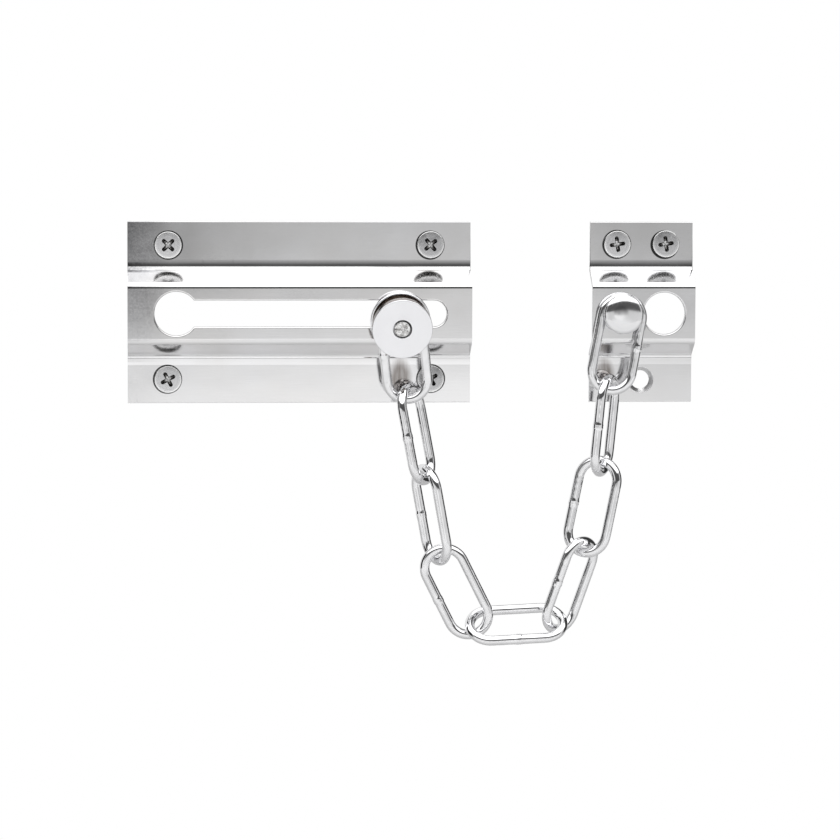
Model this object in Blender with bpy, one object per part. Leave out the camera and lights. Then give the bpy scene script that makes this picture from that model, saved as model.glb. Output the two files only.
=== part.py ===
"""Door chain guard.

A pressed track plate with a keyhole slot, a short keeper plate of the same
section, and a nine-link welded chain between them. The first link sits in the
groove of a slider that rides in the slot; the last one hangs on a rivet.

Units are metres, +Z is up and the object faces -Y. The mounting plane is
Y = 0. The origin is the middle of the track plate's upper flange on that
plane. Shapes are laid out about the middle of the track plate, which an empty
carries to its place below the origin. A depth is a distance in front of the
mounting plane, towards -Y.
"""

import math

import bmesh
import bpy
from mathutils import Matrix, Vector

MM = 0.001
FACE_FRONT = (math.pi / 2, 0, 0)   # turns local Z to point forwards, along -Y
SMOOTH_ANGLE = 35                  # degrees; sharper edges stay hard

# ---------------------------------------------------------------- plate sizes
# Both plates share one pressed section: two flanges and a raised plateau.
PLATE_HEIGHT = 50.0 * MM
FLANGE_Z = 18.5 * MM            # middle of the upper flange above the plate's middle
SHEET = 1.5 * MM
PLATEAU_DEPTH = 8.2 * MM        # front face of the plateau
PLATEAU_MID = PLATEAU_DEPTH - SHEET / 2
BEND_OUT_Z = 11.4 * MM          # mid-line corner between flange and slope
BEND_IN_Z = 7.6 * MM            # mid-line corner between slope and plateau
BEND_OUT_R = 1.75 * MM
BEND_IN_R = 1.35 * MM
BEND_STEPS = 4
EDGE_BREAK = 0.25 * MM

TRACK_LENGTH = 94.4 * MM
KEEPER_LENGTH = 28.5 * MM
KEEPER_X = 94.75 * MM           # centre of the keeper plate

# Keyhole slot in the track, round hole in the keeper
KEYHOLE_X = -33.9 * MM
KEYHOLE_R = 6.0 * MM
KEYHOLE_STEPS = 26
SLOT_END_X = 40.2 * MM
SLOT_HALF = 3.6 * MM
SLOT_END_STEPS = 12
PARK_X = 100.4 * MM
PARK_R = 5.75 * MM
PARK_STEPS = 28
DIE_ROLL = 0.45 * MM            # rounded lip on the front of both holes
DIE_ROLL_STEPS = 3
DIE_ROLL_FILL = 0.999           # keeps the flare just short of the outermost outline

# ---------------------------------------------------------------- screw sizes
SCREW_X = 36.2 * MM
SCREW_Z = FLANGE_Z
KEEPER_SCREW_DX = 6.7 * MM
KEEPER_SCREW_Z = 18.8 * MM
SINK_R_FRONT = 3.55 * MM
SINK_R_BACK = 2.55 * MM
SINK_LAND = 0.1 * MM            # straight part of the hole at the back
SINK_OVERSHOOT = 0.6 * MM       # cutter length past each face
SINK_STEPS = 24

SCREW_STEPS = 14
HEAD_R = 3.75 * MM
HEAD_RIM = 0.33 * MM
HEAD_TOP = 2.3 * MM             # depth of the top of the head
HEAD_CROWN = 0.12 * MM
SHANK_R = 1.75 * MM
PLAIN_SHANK = 1.6 * MM
ROOT_R = 1.25 * MM
ROOT_TAPER = 0.5 * MM           # length of the cone from shank down to root
THREAD_START = 0.9 * MM         # first thread root below the plain shank
THREAD_PITCH = 1.9 * MM
THREADS = 6
LAST_THREAD_SCALE = 0.72
SCREW_TIP = 15.5 * MM           # tip behind the mounting plane

RECESS_REACH = 2.15 * MM
RECESS_HALF = 0.5 * MM
RECESS_DEPTH = 1.5 * MM

TRACK_HOLES = [(sx * SCREW_X, sz * SCREW_Z) for sz in (1, -1) for sx in (-1, 1)]
KEEPER_HOLES = [
    (KEEPER_X - KEEPER_SCREW_DX, KEEPER_SCREW_Z),
    (KEEPER_X + KEEPER_SCREW_DX, KEEPER_SCREW_Z),
    (KEEPER_X, -KEEPER_SCREW_Z),
]
# name, hole, recess turn in degrees, seat offset (x, z) in mm, lean about (X, Z) in degrees
# The keeper's lower hole stays empty.
SCREWS = (
    ("track_screw_1", TRACK_HOLES[0], 45, (0.10, 0.05), (1.5, 1.0)),
    ("track_screw_2", TRACK_HOLES[1], 40, (-0.08, 0.10), (-1.0, 1.2)),
    ("track_screw_3", TRACK_HOLES[2], 28, (0.06, 0.10), (1.2, -1.0)),
    ("track_screw_4", TRACK_HOLES[3], 32, (0.10, 0.06), (-1.2, -0.8)),
    ("keeper_screw_1", KEEPER_HOLES[0], 8, (-0.10, 0.05), (1.0, 1.0)),
    ("keeper_screw_2", KEEPER_HOLES[1], 8, (0.06, 0.08), (-1.0, 0.8)),
)

# ---------------------------------------------------------------- slider sizes
# Stations run forwards along the slider's own axis from the middle of the sheet.
SLIDER_X = 27.3 * MM
SLIDER_Z = -1.2 * MM
SLIDER_DROOP = math.radians(12.5)   # the front end hangs down
RING_STEPS = 36
WASHER = (2.2 * MM, 3.8 * MM)
WASHER_R = 8.25 * MM
WASHER_BORE = 2.3 * MM
WASHER_ROUND = 0.45 * MM
DISC = (8.6 * MM, 11.6 * MM)
DISC_R = 8.25 * MM
DISC_BORE = 2.2 * MM
DISC_BACK_ROUND = 0.5 * MM
DISC_FRONT_ROUND = 0.7 * MM
PEEN_RECESS_R = 2.55 * MM
PEEN_RECESS = 0.95 * MM

STUD_STEPS = 28
STEM_R = 2.1 * MM
INNER_HEAD = (-3.7 * MM, -2.1 * MM)
INNER_HEAD_R = 5.4 * MM
INNER_HEAD_BACK_ROUND = 0.4 * MM
INNER_HEAD_FRONT_ROUND = 0.3 * MM
NECK = (4.0 * MM, 8.4 * MM)
NECK_R = 2.5 * MM
TENON_R = 1.9 * MM
PEEN_R = 2.3 * MM
PEEN_GAP = 0.15 * MM            # peened end above the recess floor
PEEN_SHOULDER = 0.45 * MM       # these three lie below the disc's front face
PEEN_EDGE = 0.15 * MM
PEEN_TOP = 0.05 * MM
PEEN_INSET = 0.3 * MM

# ---------------------------------------------------------------- rivet sizes
RIVET_X = 88.6 * MM
RIVET_STEPS = 28
RIVET_HOLE_R = 2.7 * MM
RIVET_HOLE_SPAN = (4 * MM, 10 * MM)   # depths of the cutter's ends
RIVET_HOLE_STEPS = 20
RIVET_SHANK_R = 2.4 * MM
RIVET_NECK_R = 3.0 * MM
RIVET_NECK_GAP = 0.12 * MM      # neck in front of the plateau
RIVET_TAIL = (4.9 * MM, 6.4 * MM)
RIVET_TAIL_R = 3.7 * MM
RIVET_HEAD = (11.7 * MM, 13.9 * MM)
RIVET_HEAD_R = 5.45 * MM
# Head outline in mm: inset from the head's radius, rise above its back face
RIVET_HEAD_EDGE = ((0.35, 0), (0, 0.35), (0.1, 0.85), (0.75, 1.45), (1.9, 1.95))

# ---------------------------------------------------------------- chain sizes
WIRE_R = 1.4 * MM
WIRE_SIDES = 10
LINK_ARC_STEPS = 10
LINK_LENGTH = 28.6 * MM
LINK_WIDTH = 13.9 * MM
LINK_PITCH = 22.75 * MM
FIRST_PITCH = 19.6 * MM         # slider to second link
LAST_PITCH = 19.8 * MM          # eighth link to rivet
# Weld bead: offset along the leg in mm, scale of the wire
WELD_BEAD = ((-1.5, 1.0), (-0.9, 1.112), (0, 1.16), (0.9, 1.112), (1.5, 1.0))
# One row per link, from the slider to the rivet:
#   angle   direction in degrees, from straight down towards +X
#   twist   turn about the link's own length, in degrees
#   depth   of the link's middle, in mm
#   lean    of its rivet end back towards the mounting plane, in degrees
#   along   slack along its length, in mm
#   across  slack across its length, in mm
LINKS = (
    (7.0, 0.0, 11.95, 11.0, 0.36, 0.0),
    (10.7, 60.0, 9.75, -1.0, 0.05, 0.0),
    (10.3, 296.0, 9.75, 0.5, 0.05, -0.1),
    (26.6, 352.0, 9.55, 2.5, 0.0, 0.0),
    (92.5, 50.0, 10.3, 1.5, 0.15, -0.55),
    (160.8, 138.0, 9.55, -1.5, 0.0, -0.05),
    (168.7, 207.0, 9.8, 0.0, 0.0, 0.0),
    (174.5, 117.0, 9.8, 0.0, 0.0, 0.0),
    (169.6, 0.0, 9.9, 0.0, -0.12, 0.0),
)


# ---------------------------------------------------------------- scene tools
def clear_scene():
    for obj in list(bpy.data.objects):
        bpy.data.objects.remove(obj, do_unlink=True)


def metal(name, colour, roughness):
    mat = bpy.data.materials.new(name)
    mat.use_nodes = True
    shader = mat.node_tree.nodes["Principled BSDF"]
    shader.inputs["Base Color"].default_value = (*colour, 1.0)
    shader.inputs["Metallic"].default_value = 1.0
    shader.inputs["Roughness"].default_value = roughness
    return mat


def add_object(name, mesh, parent=None, location=(0, 0, 0), rotation=(0, 0, 0)):
    obj = bpy.data.objects.new(name, mesh)
    bpy.context.scene.collection.objects.link(obj)
    obj.parent = parent
    obj.location = location
    obj.rotation_euler = rotation
    return obj


def add_empty(name, location, parent=None, rotation=(0, 0, 0)):
    empty = add_object(name, None, parent, location, rotation)
    empty.empty_display_size = 0.004
    return empty


def cut(obj, mesh, location=(0, 0, 0), rotation=(0, 0, 0)):
    """Subtracts a mesh from obj through a hidden cutter named after the mesh."""
    tool = add_object(mesh.name, mesh, location=location, rotation=rotation)
    tool.hide_render = True
    tool.display_type = "WIRE"
    mod = obj.modifiers.new("cut_" + tool.name, "BOOLEAN")
    mod.operation = "DIFFERENCE"
    mod.solver = "EXACT"
    mod.object = tool
    return tool


# ---------------------------------------------------------------- shape tools
def smooth(mesh, angle):
    mesh.shade_smooth()
    mesh.set_sharp_from_angle(angle=math.radians(angle))


def mesh_from(bm, name, smooth_angle=None):
    bmesh.ops.recalc_face_normals(bm, faces=bm.faces[:])
    mesh = bpy.data.meshes.new(name)
    bm.to_mesh(mesh)
    bm.free()
    if smooth_angle is not None:
        smooth(mesh, smooth_angle)
    return mesh


def bridge(bm, first, second):
    """Faces between two matching loops, either of which may be a single point."""
    steps = max(len(first), len(second))
    for i in range(steps):
        j = (i + 1) % steps
        if len(first) == 1:
            bm.faces.new((first[0], second[i], second[j]))
        elif len(second) == 1:
            bm.faces.new((first[i], second[0], first[j]))
        else:
            bm.faces.new((first[i], second[i], second[j], first[j]))


def skin(name, rings, looped=False, smooth_angle=None):
    """A solid through rings of 3-D points. It runs back to its first ring when
    looped; otherwise its ends are capped."""
    bm = bmesh.new()
    loops = [[bm.verts.new(point) for point in ring] for ring in rings]
    for first, second in zip(loops, loops[1:]):
        bridge(bm, first, second)
    if looped:
        bridge(bm, loops[-1], loops[0])
    else:
        for end in (loops[0], loops[-1]):
            if len(end) > 1:
                bm.faces.new(end)
    return mesh_from(bm, name, smooth_angle)


def circle(x, y, radius, steps):
    angles = [2 * math.pi * i / steps for i in range(steps)]
    return [(x + radius * math.cos(a), y + radius * math.sin(a)) for a in angles]


def turned(name, profile, steps, looped=False):
    """A solid of revolution about local Z from (radius, height) points. The
    profile starts and ends on the axis, or is looped and stays off it."""
    rings = []
    for radius, height in profile:
        outline = circle(0, 0, radius, steps) if radius > 0 else [(0, 0)]
        rings.append([(x, y, height) for x, y in outline])
    return skin(name, rings, looped, SMOOTH_ANGLE)


def rounded_rim(radius, low, high, low_round, high_round, steps=3):
    """Profile of an outer wall with rounded corners, from low to high."""
    quarter = [math.pi / 2 * i / steps for i in range(steps + 1)]
    lower = [
        (radius - low_round * (1 - math.cos(a)), low + low_round * (1 - math.sin(a)))
        for a in reversed(quarter)
    ]
    upper = [
        (radius - high_round * (1 - math.cos(a)), high - high_round * (1 - math.sin(a)))
        for a in quarter
    ]
    return lower + upper


# ---------------------------------------------------------------- plates
def fillet(before, here, after, radius):
    """Arc points that replace a polyline corner."""
    here = Vector(here)
    back = (Vector(before) - here).normalized()
    ahead = (Vector(after) - here).normalized()
    half = math.acos(back.dot(ahead)) / 2
    reach = radius / math.tan(half)
    centre = here + (back + ahead).normalized() * radius / math.sin(half)
    start = here + back * reach - centre
    end = here + ahead * reach - centre
    sweep = start.angle_signed(end)
    return [
        centre + Matrix.Rotation(-sweep * i / BEND_STEPS, 2) @ start
        for i in range(BEND_STEPS + 1)
    ]


def section_line():
    """Mid-line of the pressed section as (z, depth), from bottom to top."""
    flange_mid = SHEET / 2
    half = PLATE_HEIGHT / 2
    corners = [
        (-half, flange_mid),
        (-BEND_OUT_Z, flange_mid),
        (-BEND_IN_Z, PLATEAU_MID),
        (BEND_IN_Z, PLATEAU_MID),
        (BEND_OUT_Z, flange_mid),
        (half, flange_mid),
    ]
    radii = (BEND_OUT_R, BEND_IN_R, BEND_IN_R, BEND_OUT_R)
    points = [Vector(corners[0])]
    for before, here, after, radius in zip(corners, corners[1:], corners[2:], radii):
        points += fillet(before, here, after, radius)
    points.append(Vector(corners[-1]))
    return points


def section_outline():
    """Closed outline of the sheet as (z, depth)."""
    line = section_line()
    front, back = [], []
    for i, point in enumerate(line):
        before = line[max(0, i - 1)]
        after = line[min(len(line) - 1, i + 1)]
        if 0 < i < len(line) - 1:
            arriving = (point - before).normalized()
            leaving = (after - point).normalized()
            along = (arriving + leaving).normalized()
            stretch = 1 / along.dot(arriving)
        else:
            along = (after - before).normalized()
            stretch = 1.0
        normal = Vector((-along.y, along.x))
        front.append(point + normal * SHEET / 2 * stretch)
        back.append(point - normal * SHEET / 2 * stretch)
    # broken front edges along the top and bottom
    front[0] += Vector((EDGE_BREAK, 0))
    front[-1] -= Vector((EDGE_BREAK, 0))
    front.insert(0, Vector((-PLATE_HEIGHT / 2, SHEET - EDGE_BREAK)))
    front.append(Vector((PLATE_HEIGHT / 2, SHEET - EDGE_BREAK)))
    return front + back[::-1]


def is_front_end_edge(edge):
    """Whether an edge lies between a cut end and a front face of the plate."""
    start, end = edge.verts
    return (
        abs(start.co.x - end.co.x) < 1e-7
        and len(edge.link_faces) == 2
        and any(abs(face.normal.x) > 0.9 for face in edge.link_faces)
        and min(face.normal.y for face in edge.link_faces) < -0.3
    )


def plate_mesh(name, length):
    bm = bmesh.new()
    end = bm.faces.new(
        [bm.verts.new((-length / 2, -depth, z)) for z, depth in section_outline()]
    )
    made = bmesh.ops.extrude_face_region(bm, geom=[end])
    moved = [item for item in made["geom"] if isinstance(item, bmesh.types.BMVert)]
    bmesh.ops.translate(bm, verts=moved, vec=(length, 0, 0))
    bmesh.ops.recalc_face_normals(bm, faces=bm.faces[:])
    edges = [edge for edge in bm.edges if is_front_end_edge(edge)]
    bmesh.ops.bevel(
        bm, geom=edges, offset=EDGE_BREAK, segments=1, affect="EDGES", clamp_overlap=True
    )
    return mesh_from(bm, name)


def keyhole_outline(grow):
    """Keyhole as (x, z): the round opening, then the slot's round end."""
    radius = KEYHOLE_R + grow
    half = SLOT_HALF + grow
    end_x = SLOT_END_X - SLOT_HALF
    meet = math.asin(half / radius)
    points = []
    for i in range(KEYHOLE_STEPS + 1):
        angle = meet + (2 * math.pi - 2 * meet) * i / KEYHOLE_STEPS
        points.append((KEYHOLE_X + radius * math.cos(angle), radius * math.sin(angle)))
    for i in range(SLOT_END_STEPS + 1):
        angle = -math.pi / 2 + math.pi * i / SLOT_END_STEPS
        points.append((end_x + half * math.cos(angle), half * math.sin(angle)))
    return points


def park_outline(grow):
    return circle(PARK_X, 0, PARK_R + grow, PARK_STEPS)


def punch_mesh(name, outline):
    """A punch through the plateau, flared at the front to leave the die-roll
    lip. outline(grow) returns (x, z) points."""
    stations = [(PLATEAU_DEPTH - 3 * SHEET, 0.0)]
    for i in range(DIE_ROLL_STEPS + 1):
        angle = math.pi / 2 * i / DIE_ROLL_STEPS
        depth = PLATEAU_DEPTH - DIE_ROLL + DIE_ROLL * math.sin(angle)
        stations.append((depth, DIE_ROLL * (1 - math.cos(angle)) * DIE_ROLL_FILL))
    stations.append((PLATEAU_DEPTH + SHEET, DIE_ROLL))
    return skin(name, [[(x, -depth, z) for x, z in outline(grow)] for depth, grow in stations])


def cut_countersinks(plate, prefix, holes):
    """Holes in the flanges that widen from the back to the front."""
    profile = [
        (0, -SINK_OVERSHOOT),
        (SINK_R_BACK, -SINK_OVERSHOOT),
        (SINK_R_BACK, SINK_LAND),
        (SINK_R_FRONT, SHEET),
        (SINK_R_FRONT, SHEET + SINK_OVERSHOOT),
        (0, SHEET + SINK_OVERSHOOT),
    ]
    for number, (x, z) in enumerate(holes, 1):
        mesh = turned(f"{prefix}_{number}", profile, SINK_STEPS)
        cut(plate, mesh, (x, 0, z), FACE_FRONT)


def add_plate(name, length, x, zinc):
    mesh = plate_mesh(name, length)
    mesh.materials.append(zinc)
    return add_object(name, mesh, location=(x, 0, 0))


def build_plates():
    zinc = metal("bright_zinc_plate", colour=(0.72, 0.72, 0.73), roughness=0.22)

    track = add_plate("track_plate", TRACK_LENGTH, 0, zinc)
    cut(track, punch_mesh("keyhole_cutter", keyhole_outline))
    cut_countersinks(track, "track_sink", TRACK_HOLES)

    keeper = add_plate("keeper_plate", KEEPER_LENGTH, KEEPER_X, zinc)
    cut(keeper, punch_mesh("park_cutter", park_outline))
    back, front = RIVET_HOLE_SPAN
    profile = [(0, back), (RIVET_HOLE_R, back), (RIVET_HOLE_R, front), (0, front)]
    rivet_hole = turned("rivet_hole_cutter", profile, RIVET_HOLE_STEPS)
    cut(keeper, rivet_hole, (RIVET_X, 0, 0), FACE_FRONT)
    cut_countersinks(keeper, "keeper_sink", KEEPER_HOLES)


# ---------------------------------------------------------------- screws
def recess_mesh():
    """Cross recess: two tapered wings that meet in a point."""
    # reach, half width, height from the top of the head
    levels = (
        (RECESS_REACH + 0.12 * MM, RECESS_HALF + 0.05 * MM, 0.6 * MM),
        (RECESS_REACH, RECESS_HALF, -0.05 * MM),
        (RECESS_REACH * 0.62, RECESS_HALF * 0.72, -RECESS_DEPTH * 0.8),
    )
    rings = []
    for reach, half, height in levels:
        ring = []
        for quarter in range(4):
            turn = Matrix.Rotation(quarter * math.pi / 2, 2)
            for point in ((reach, -half), (reach, half), (half, half)):
                ring.append((*(turn @ Vector(point)), height))
        rings.append(ring)
    rings.append([(0, 0, -RECESS_DEPTH)])
    return skin("recess_cutter", rings)


def screw_profile():
    rim = HEAD_TOP - HEAD_CROWN
    rim_low = rim - HEAD_RIM
    under_head = rim_low - (HEAD_R - SHANK_R)
    z = under_head - PLAIN_SHANK
    profile = [
        (0, HEAD_TOP),
        (HEAD_R * 0.55, HEAD_TOP - 0.03 * MM),
        (HEAD_R - 0.22 * MM, rim + 0.03 * MM),
        (HEAD_R, rim - 0.12 * MM),
        (HEAD_R, rim_low),
        (SHANK_R, under_head),
        (SHANK_R, z),
        (ROOT_R, z - ROOT_TAPER),
    ]
    z -= THREAD_START
    for i in range(THREADS):
        scale = 1.0 if i < THREADS - 1 else LAST_THREAD_SCALE
        profile.append((ROOT_R * scale, z))
        profile.append((SHANK_R * scale, z - THREAD_PITCH * 0.5))
        z -= THREAD_PITCH
    return profile + [(ROOT_R * 0.5, z), (0, -SCREW_TIP)]


def screw_mesh():
    """Countersunk cross-recess wood screw along local Z, threaded with plain
    ridges. The recess is cut for good, so that all screws share the mesh."""
    blank = add_object("screw_blank", turned("screw_blank", screw_profile(), SCREW_STEPS))
    tool = cut(blank, recess_mesh(), (0, 0, HEAD_TOP))
    bpy.context.view_layer.update()
    graph = bpy.context.evaluated_depsgraph_get()
    mesh = bpy.data.meshes.new_from_object(blank.evaluated_get(graph))
    mesh.name = "screw"
    for obj in (blank, tool):
        bpy.data.objects.remove(obj, do_unlink=True)
    smooth(mesh, SMOOTH_ANGLE)
    return mesh


def build_screws():
    """Each screw sits a little off centre and leans a little in its hole."""
    mesh = screw_mesh()
    mesh.materials.append(metal("zinc_screw", colour=(0.66, 0.67, 0.69), roughness=0.28))
    forwards = Matrix.Rotation(math.pi / 2, 4, "X")
    for name, (x, z), turn, (shift_x, shift_z), (lean_x, lean_z) in SCREWS:
        lean = Matrix.Rotation(math.radians(lean_x), 4, "X") @ Matrix.Rotation(
            math.radians(lean_z), 4, "Z"
        )
        spin = Matrix.Rotation(math.radians(turn), 4, "Z")
        add_object(
            name,
            mesh,
            location=(x + shift_x * MM, 0, z + shift_z * MM),
            rotation=(lean @ forwards @ spin).to_euler(),
        )


# ---------------------------------------------------------------- rivet
def build_rivet():
    head_back, head_front = RIVET_HEAD
    tail_back, tail_front = RIVET_TAIL
    neck_back = PLATEAU_DEPTH + RIVET_NECK_GAP
    profile = [
        (0, tail_back),
        (RIVET_TAIL_R * 0.7, tail_back + 0.12 * MM),
        (RIVET_TAIL_R, tail_back + 0.6 * MM),
        (RIVET_TAIL_R - 0.2 * MM, tail_front),
        (RIVET_SHANK_R, tail_front),
        (RIVET_SHANK_R, neck_back),
        (RIVET_NECK_R, neck_back),
        (RIVET_NECK_R, head_back),
    ]
    for inset, rise in RIVET_HEAD_EDGE:
        profile.append((RIVET_HEAD_R - inset * MM, head_back + rise * MM))
    profile += [(RIVET_HEAD_R * 0.3, head_front - 0.03 * MM), (0, head_front)]
    mesh = turned("chain_rivet", profile, RIVET_STEPS)
    mesh.materials.append(metal("polished_rivet", colour=(0.72, 0.72, 0.73), roughness=0.16))
    add_object("chain_rivet", mesh, location=(RIVET_X, 0, 0), rotation=FACE_FRONT)


# ---------------------------------------------------------------- slider
def washer_mesh():
    back, front = WASHER
    profile = [(WASHER_BORE, front), (WASHER_BORE, back)]
    profile += rounded_rim(WASHER_R, back, front, WASHER_ROUND, WASHER_ROUND)
    return turned("rear_washer", profile, RING_STEPS, looped=True)


def disc_mesh():
    """Disc with a recess in its front face for the peened end of the stud."""
    back, front = DISC
    profile = [
        (PEEN_RECESS_R, front),
        (PEEN_RECESS_R, front - PEEN_RECESS),
        (DISC_BORE, front - PEEN_RECESS),
        (DISC_BORE, back),
    ]
    profile += rounded_rim(DISC_R, back, front, DISC_BACK_ROUND, DISC_FRONT_ROUND)
    return turned("front_disc", profile, RING_STEPS, looped=True)


def stud_mesh():
    """Head behind the sheet, stem, neck, and a tenon peened over in the disc."""
    head_back, head_front = INNER_HEAD
    neck_back, neck_front = NECK
    disc_front = DISC[1]
    peen_back = disc_front - PEEN_RECESS + PEEN_GAP
    profile = [
        (0, head_back),
        *rounded_rim(
            INNER_HEAD_R, head_back, head_front,
            INNER_HEAD_BACK_ROUND, INNER_HEAD_FRONT_ROUND, steps=2,
        ),
        (STEM_R, head_front),
        (STEM_R, neck_back),
        (NECK_R, neck_back),
        (NECK_R, neck_front),
        (TENON_R, neck_front),
        (TENON_R, peen_back),
        (PEEN_R, peen_back),
        (PEEN_R, disc_front - PEEN_SHOULDER),
        (PEEN_R - PEEN_INSET, disc_front - PEEN_EDGE),
        (0, disc_front - PEEN_TOP),
    ]
    return turned("slider_stud", profile, STUD_STEPS)


def build_slider():
    """One empty slides along the slot; a second one in it is the spin axis."""
    disc_metal = metal("nickel_disc", colour=(0.74, 0.74, 0.76), roughness=0.20)
    stud_metal = metal("peened_steel", colour=(0.62, 0.61, 0.60), roughness=0.34)
    slide = add_empty("slide_axis", (SLIDER_X, -PLATEAU_MID, SLIDER_Z))
    spin = add_empty("spin_axis", (0, 0, 0), slide, (math.pi / 2 + SLIDER_DROOP, 0, 0))
    for mesh, mat in (
        (washer_mesh(), disc_metal),
        (disc_mesh(), disc_metal),
        (stud_mesh(), stud_metal),
    ):
        mesh.materials.append(mat)
        add_object(mesh.name, mesh, spin)


# ---------------------------------------------------------------- chain
def link_mesh():
    """One welded link. Local Z is its length and local X its width."""
    bend = LINK_WIDTH / 2 - WIRE_R
    straight = (LINK_LENGTH - LINK_WIDTH) / 2

    def end_bend(start_angle, centre_z):
        angles = [start_angle + math.pi * i / LINK_ARC_STEPS for i in range(LINK_ARC_STEPS + 1)]
        return [(bend * math.cos(a), centre_z + bend * math.sin(a), a, 1.0) for a in angles]

    # x, z, outward angle, scale of the wire
    path = end_bend(0, straight)
    path.append((-bend, 0.0, math.pi, 1.0))
    path += end_bend(math.pi, -straight)
    # the weld bead, half-way along the leg at +X
    path += [(bend, offset * MM, 2 * math.pi, scale) for offset, scale in WELD_BEAD]

    rings = []
    for x, z, angle, scale in path:
        outward = Vector((math.cos(angle), 0, math.sin(angle)))
        sideways = Vector((0, 1, 0))
        rings.append([
            Vector((x, 0, z)) + outward * across + sideways * up
            for across, up in circle(0, 0, WIRE_R * scale, WIRE_SIDES)
        ])
    return skin("chain_link", rings, looped=True, smooth_angle=50)


def link_direction(angle):
    """Unit vector along a link, from its slider end to its rivet end."""
    angle = math.radians(angle)
    return Vector((math.sin(angle), 0, -math.cos(angle)))


def link_nodes():
    """Hinge points at Y = 0 from the slider to the rivet, laid out from the rivet."""
    pitches = [FIRST_PITCH] + [LINK_PITCH] * (len(LINKS) - 2) + [LAST_PITCH]
    nodes = [Vector((RIVET_X, 0, 0))]
    for pitch, row in zip(reversed(pitches), reversed(LINKS)):
        nodes.append(nodes[-1] - pitch * link_direction(row[0]))
    return nodes[::-1]


def link_middle(index, nodes, direction):
    """Middle of a link. The end links hang on the inner wall of their one
    neighbour; the others lie midway between their hinges."""
    half_inner = (LINK_LENGTH - 4 * WIRE_R) / 2
    if index == 0:
        return nodes[1] - direction * half_inner
    if index == len(LINKS) - 1:
        return nodes[index] + direction * half_inner
    return (nodes[index] + nodes[index + 1]) / 2


def link_rotation(direction, across, twist, lean):
    twist, lean = math.radians(twist), math.radians(lean)
    forwards = Vector((0, -1, 0))
    leaned = math.cos(lean) * direction - math.sin(lean) * forwards
    facing = math.cos(lean) * forwards + math.sin(lean) * direction
    width = math.cos(twist) * across + math.sin(twist) * facing
    length = -leaned
    thickness = length.cross(width)
    return Matrix((width, thickness, length)).transposed().to_euler()


def build_chain():
    """Links hang on a chain of hinge empties that starts at the rivet."""
    mesh = link_mesh()
    mesh.materials.append(metal("chrome_wire", colour=(0.78, 0.78, 0.79), roughness=0.10))
    nodes = link_nodes()
    parent, parent_at = None, Vector((0, 0, 0))
    for i in reversed(range(len(LINKS))):
        angle, twist, depth, lean, slack_along, slack_across = LINKS[i]
        hinge_at = nodes[i + 1].copy()
        hinge_at.y = -depth * MM
        hinge = add_empty(f"hinge_{i + 1}", hinge_at - parent_at, parent)
        direction = link_direction(angle)
        across = Vector((direction.z, 0, -direction.x))
        middle = link_middle(i, nodes, direction)
        middle += direction * slack_along * MM + across * slack_across * MM
        middle.y = -depth * MM
        add_object(
            f"chain_link_{i + 1}",
            mesh,
            hinge,
            middle - hinge_at,
            link_rotation(direction, across, twist, lean),
        )
        parent, parent_at = hinge, hinge_at


# ---------------------------------------------------------------- build
def hang_on_middle():
    """Hangs everything on the middle of the track plate."""
    middle = add_empty("plate_middle", (0, 0, -FLANGE_Z))
    for obj in bpy.data.objects:
        if obj.parent is None and obj is not middle:
            obj.parent = middle
    bpy.context.view_layer.update()


def build():
    clear_scene()
    build_plates()
    build_screws()
    build_rivet()
    build_slider()
    build_chain()
    hang_on_middle()


build()
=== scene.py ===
import math

import bmesh
import bpy
from mathutils import Matrix, Vector, noise


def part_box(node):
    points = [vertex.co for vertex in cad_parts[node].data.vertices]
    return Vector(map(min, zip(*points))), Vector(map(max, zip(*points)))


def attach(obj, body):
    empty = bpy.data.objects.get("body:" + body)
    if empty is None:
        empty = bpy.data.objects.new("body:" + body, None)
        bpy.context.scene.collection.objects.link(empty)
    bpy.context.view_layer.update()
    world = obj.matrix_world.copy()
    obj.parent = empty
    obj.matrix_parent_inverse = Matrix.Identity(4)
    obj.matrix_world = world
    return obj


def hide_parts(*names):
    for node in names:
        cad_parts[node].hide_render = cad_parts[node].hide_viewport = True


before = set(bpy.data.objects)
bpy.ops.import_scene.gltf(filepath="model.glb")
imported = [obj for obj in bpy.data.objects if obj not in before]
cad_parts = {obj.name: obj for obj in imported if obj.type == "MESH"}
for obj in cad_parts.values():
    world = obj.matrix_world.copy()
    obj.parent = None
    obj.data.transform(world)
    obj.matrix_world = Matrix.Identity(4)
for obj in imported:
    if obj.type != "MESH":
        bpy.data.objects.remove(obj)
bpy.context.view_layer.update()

MM = 0.001

# ------------------------------------------------------------------ the frame's own numbers
PLATE_HEIGHT = 50.0 * MM
FLANGE_Z = 18.5 * MM  # the frame's origin above the middle of the track plate
SHEET = 1.5 * MM
PLATEAU_DEPTH = 8.2 * MM
BEND_OUT_Z = 11.4 * MM
BEND_IN_Z = 7.6 * MM
BEND_OUT_R = 1.75 * MM
BEND_IN_R = 1.35 * MM
BEND_STEPS = 14
SOFT_RUN = 2.2 * MM  # the flange starts to curve this far before the bend
SOFT_TURN = 5.0
SOFT_R = 30.0 * MM
EDGE_ROUND = 0.25 * MM

track_low, track_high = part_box("track_plate")
keeper_low, keeper_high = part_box("keeper_plate")
TRACK_LENGTH = track_high[0] - track_low[0]
KEEPER_LENGTH = keeper_high[0] - keeper_low[0]
KEEPER_X = (keeper_high[0] + keeper_low[0]) / 2

KEYHOLE_X = -33.9 * MM
KEYHOLE_R = 6.0 * MM
SLOT_END_X = 40.2 * MM
SLOT_HALF = 3.6 * MM
DIE_ROLL = 0.45 * MM
PARK_X = 100.4 * MM
PARK_R = 5.75 * MM

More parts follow.
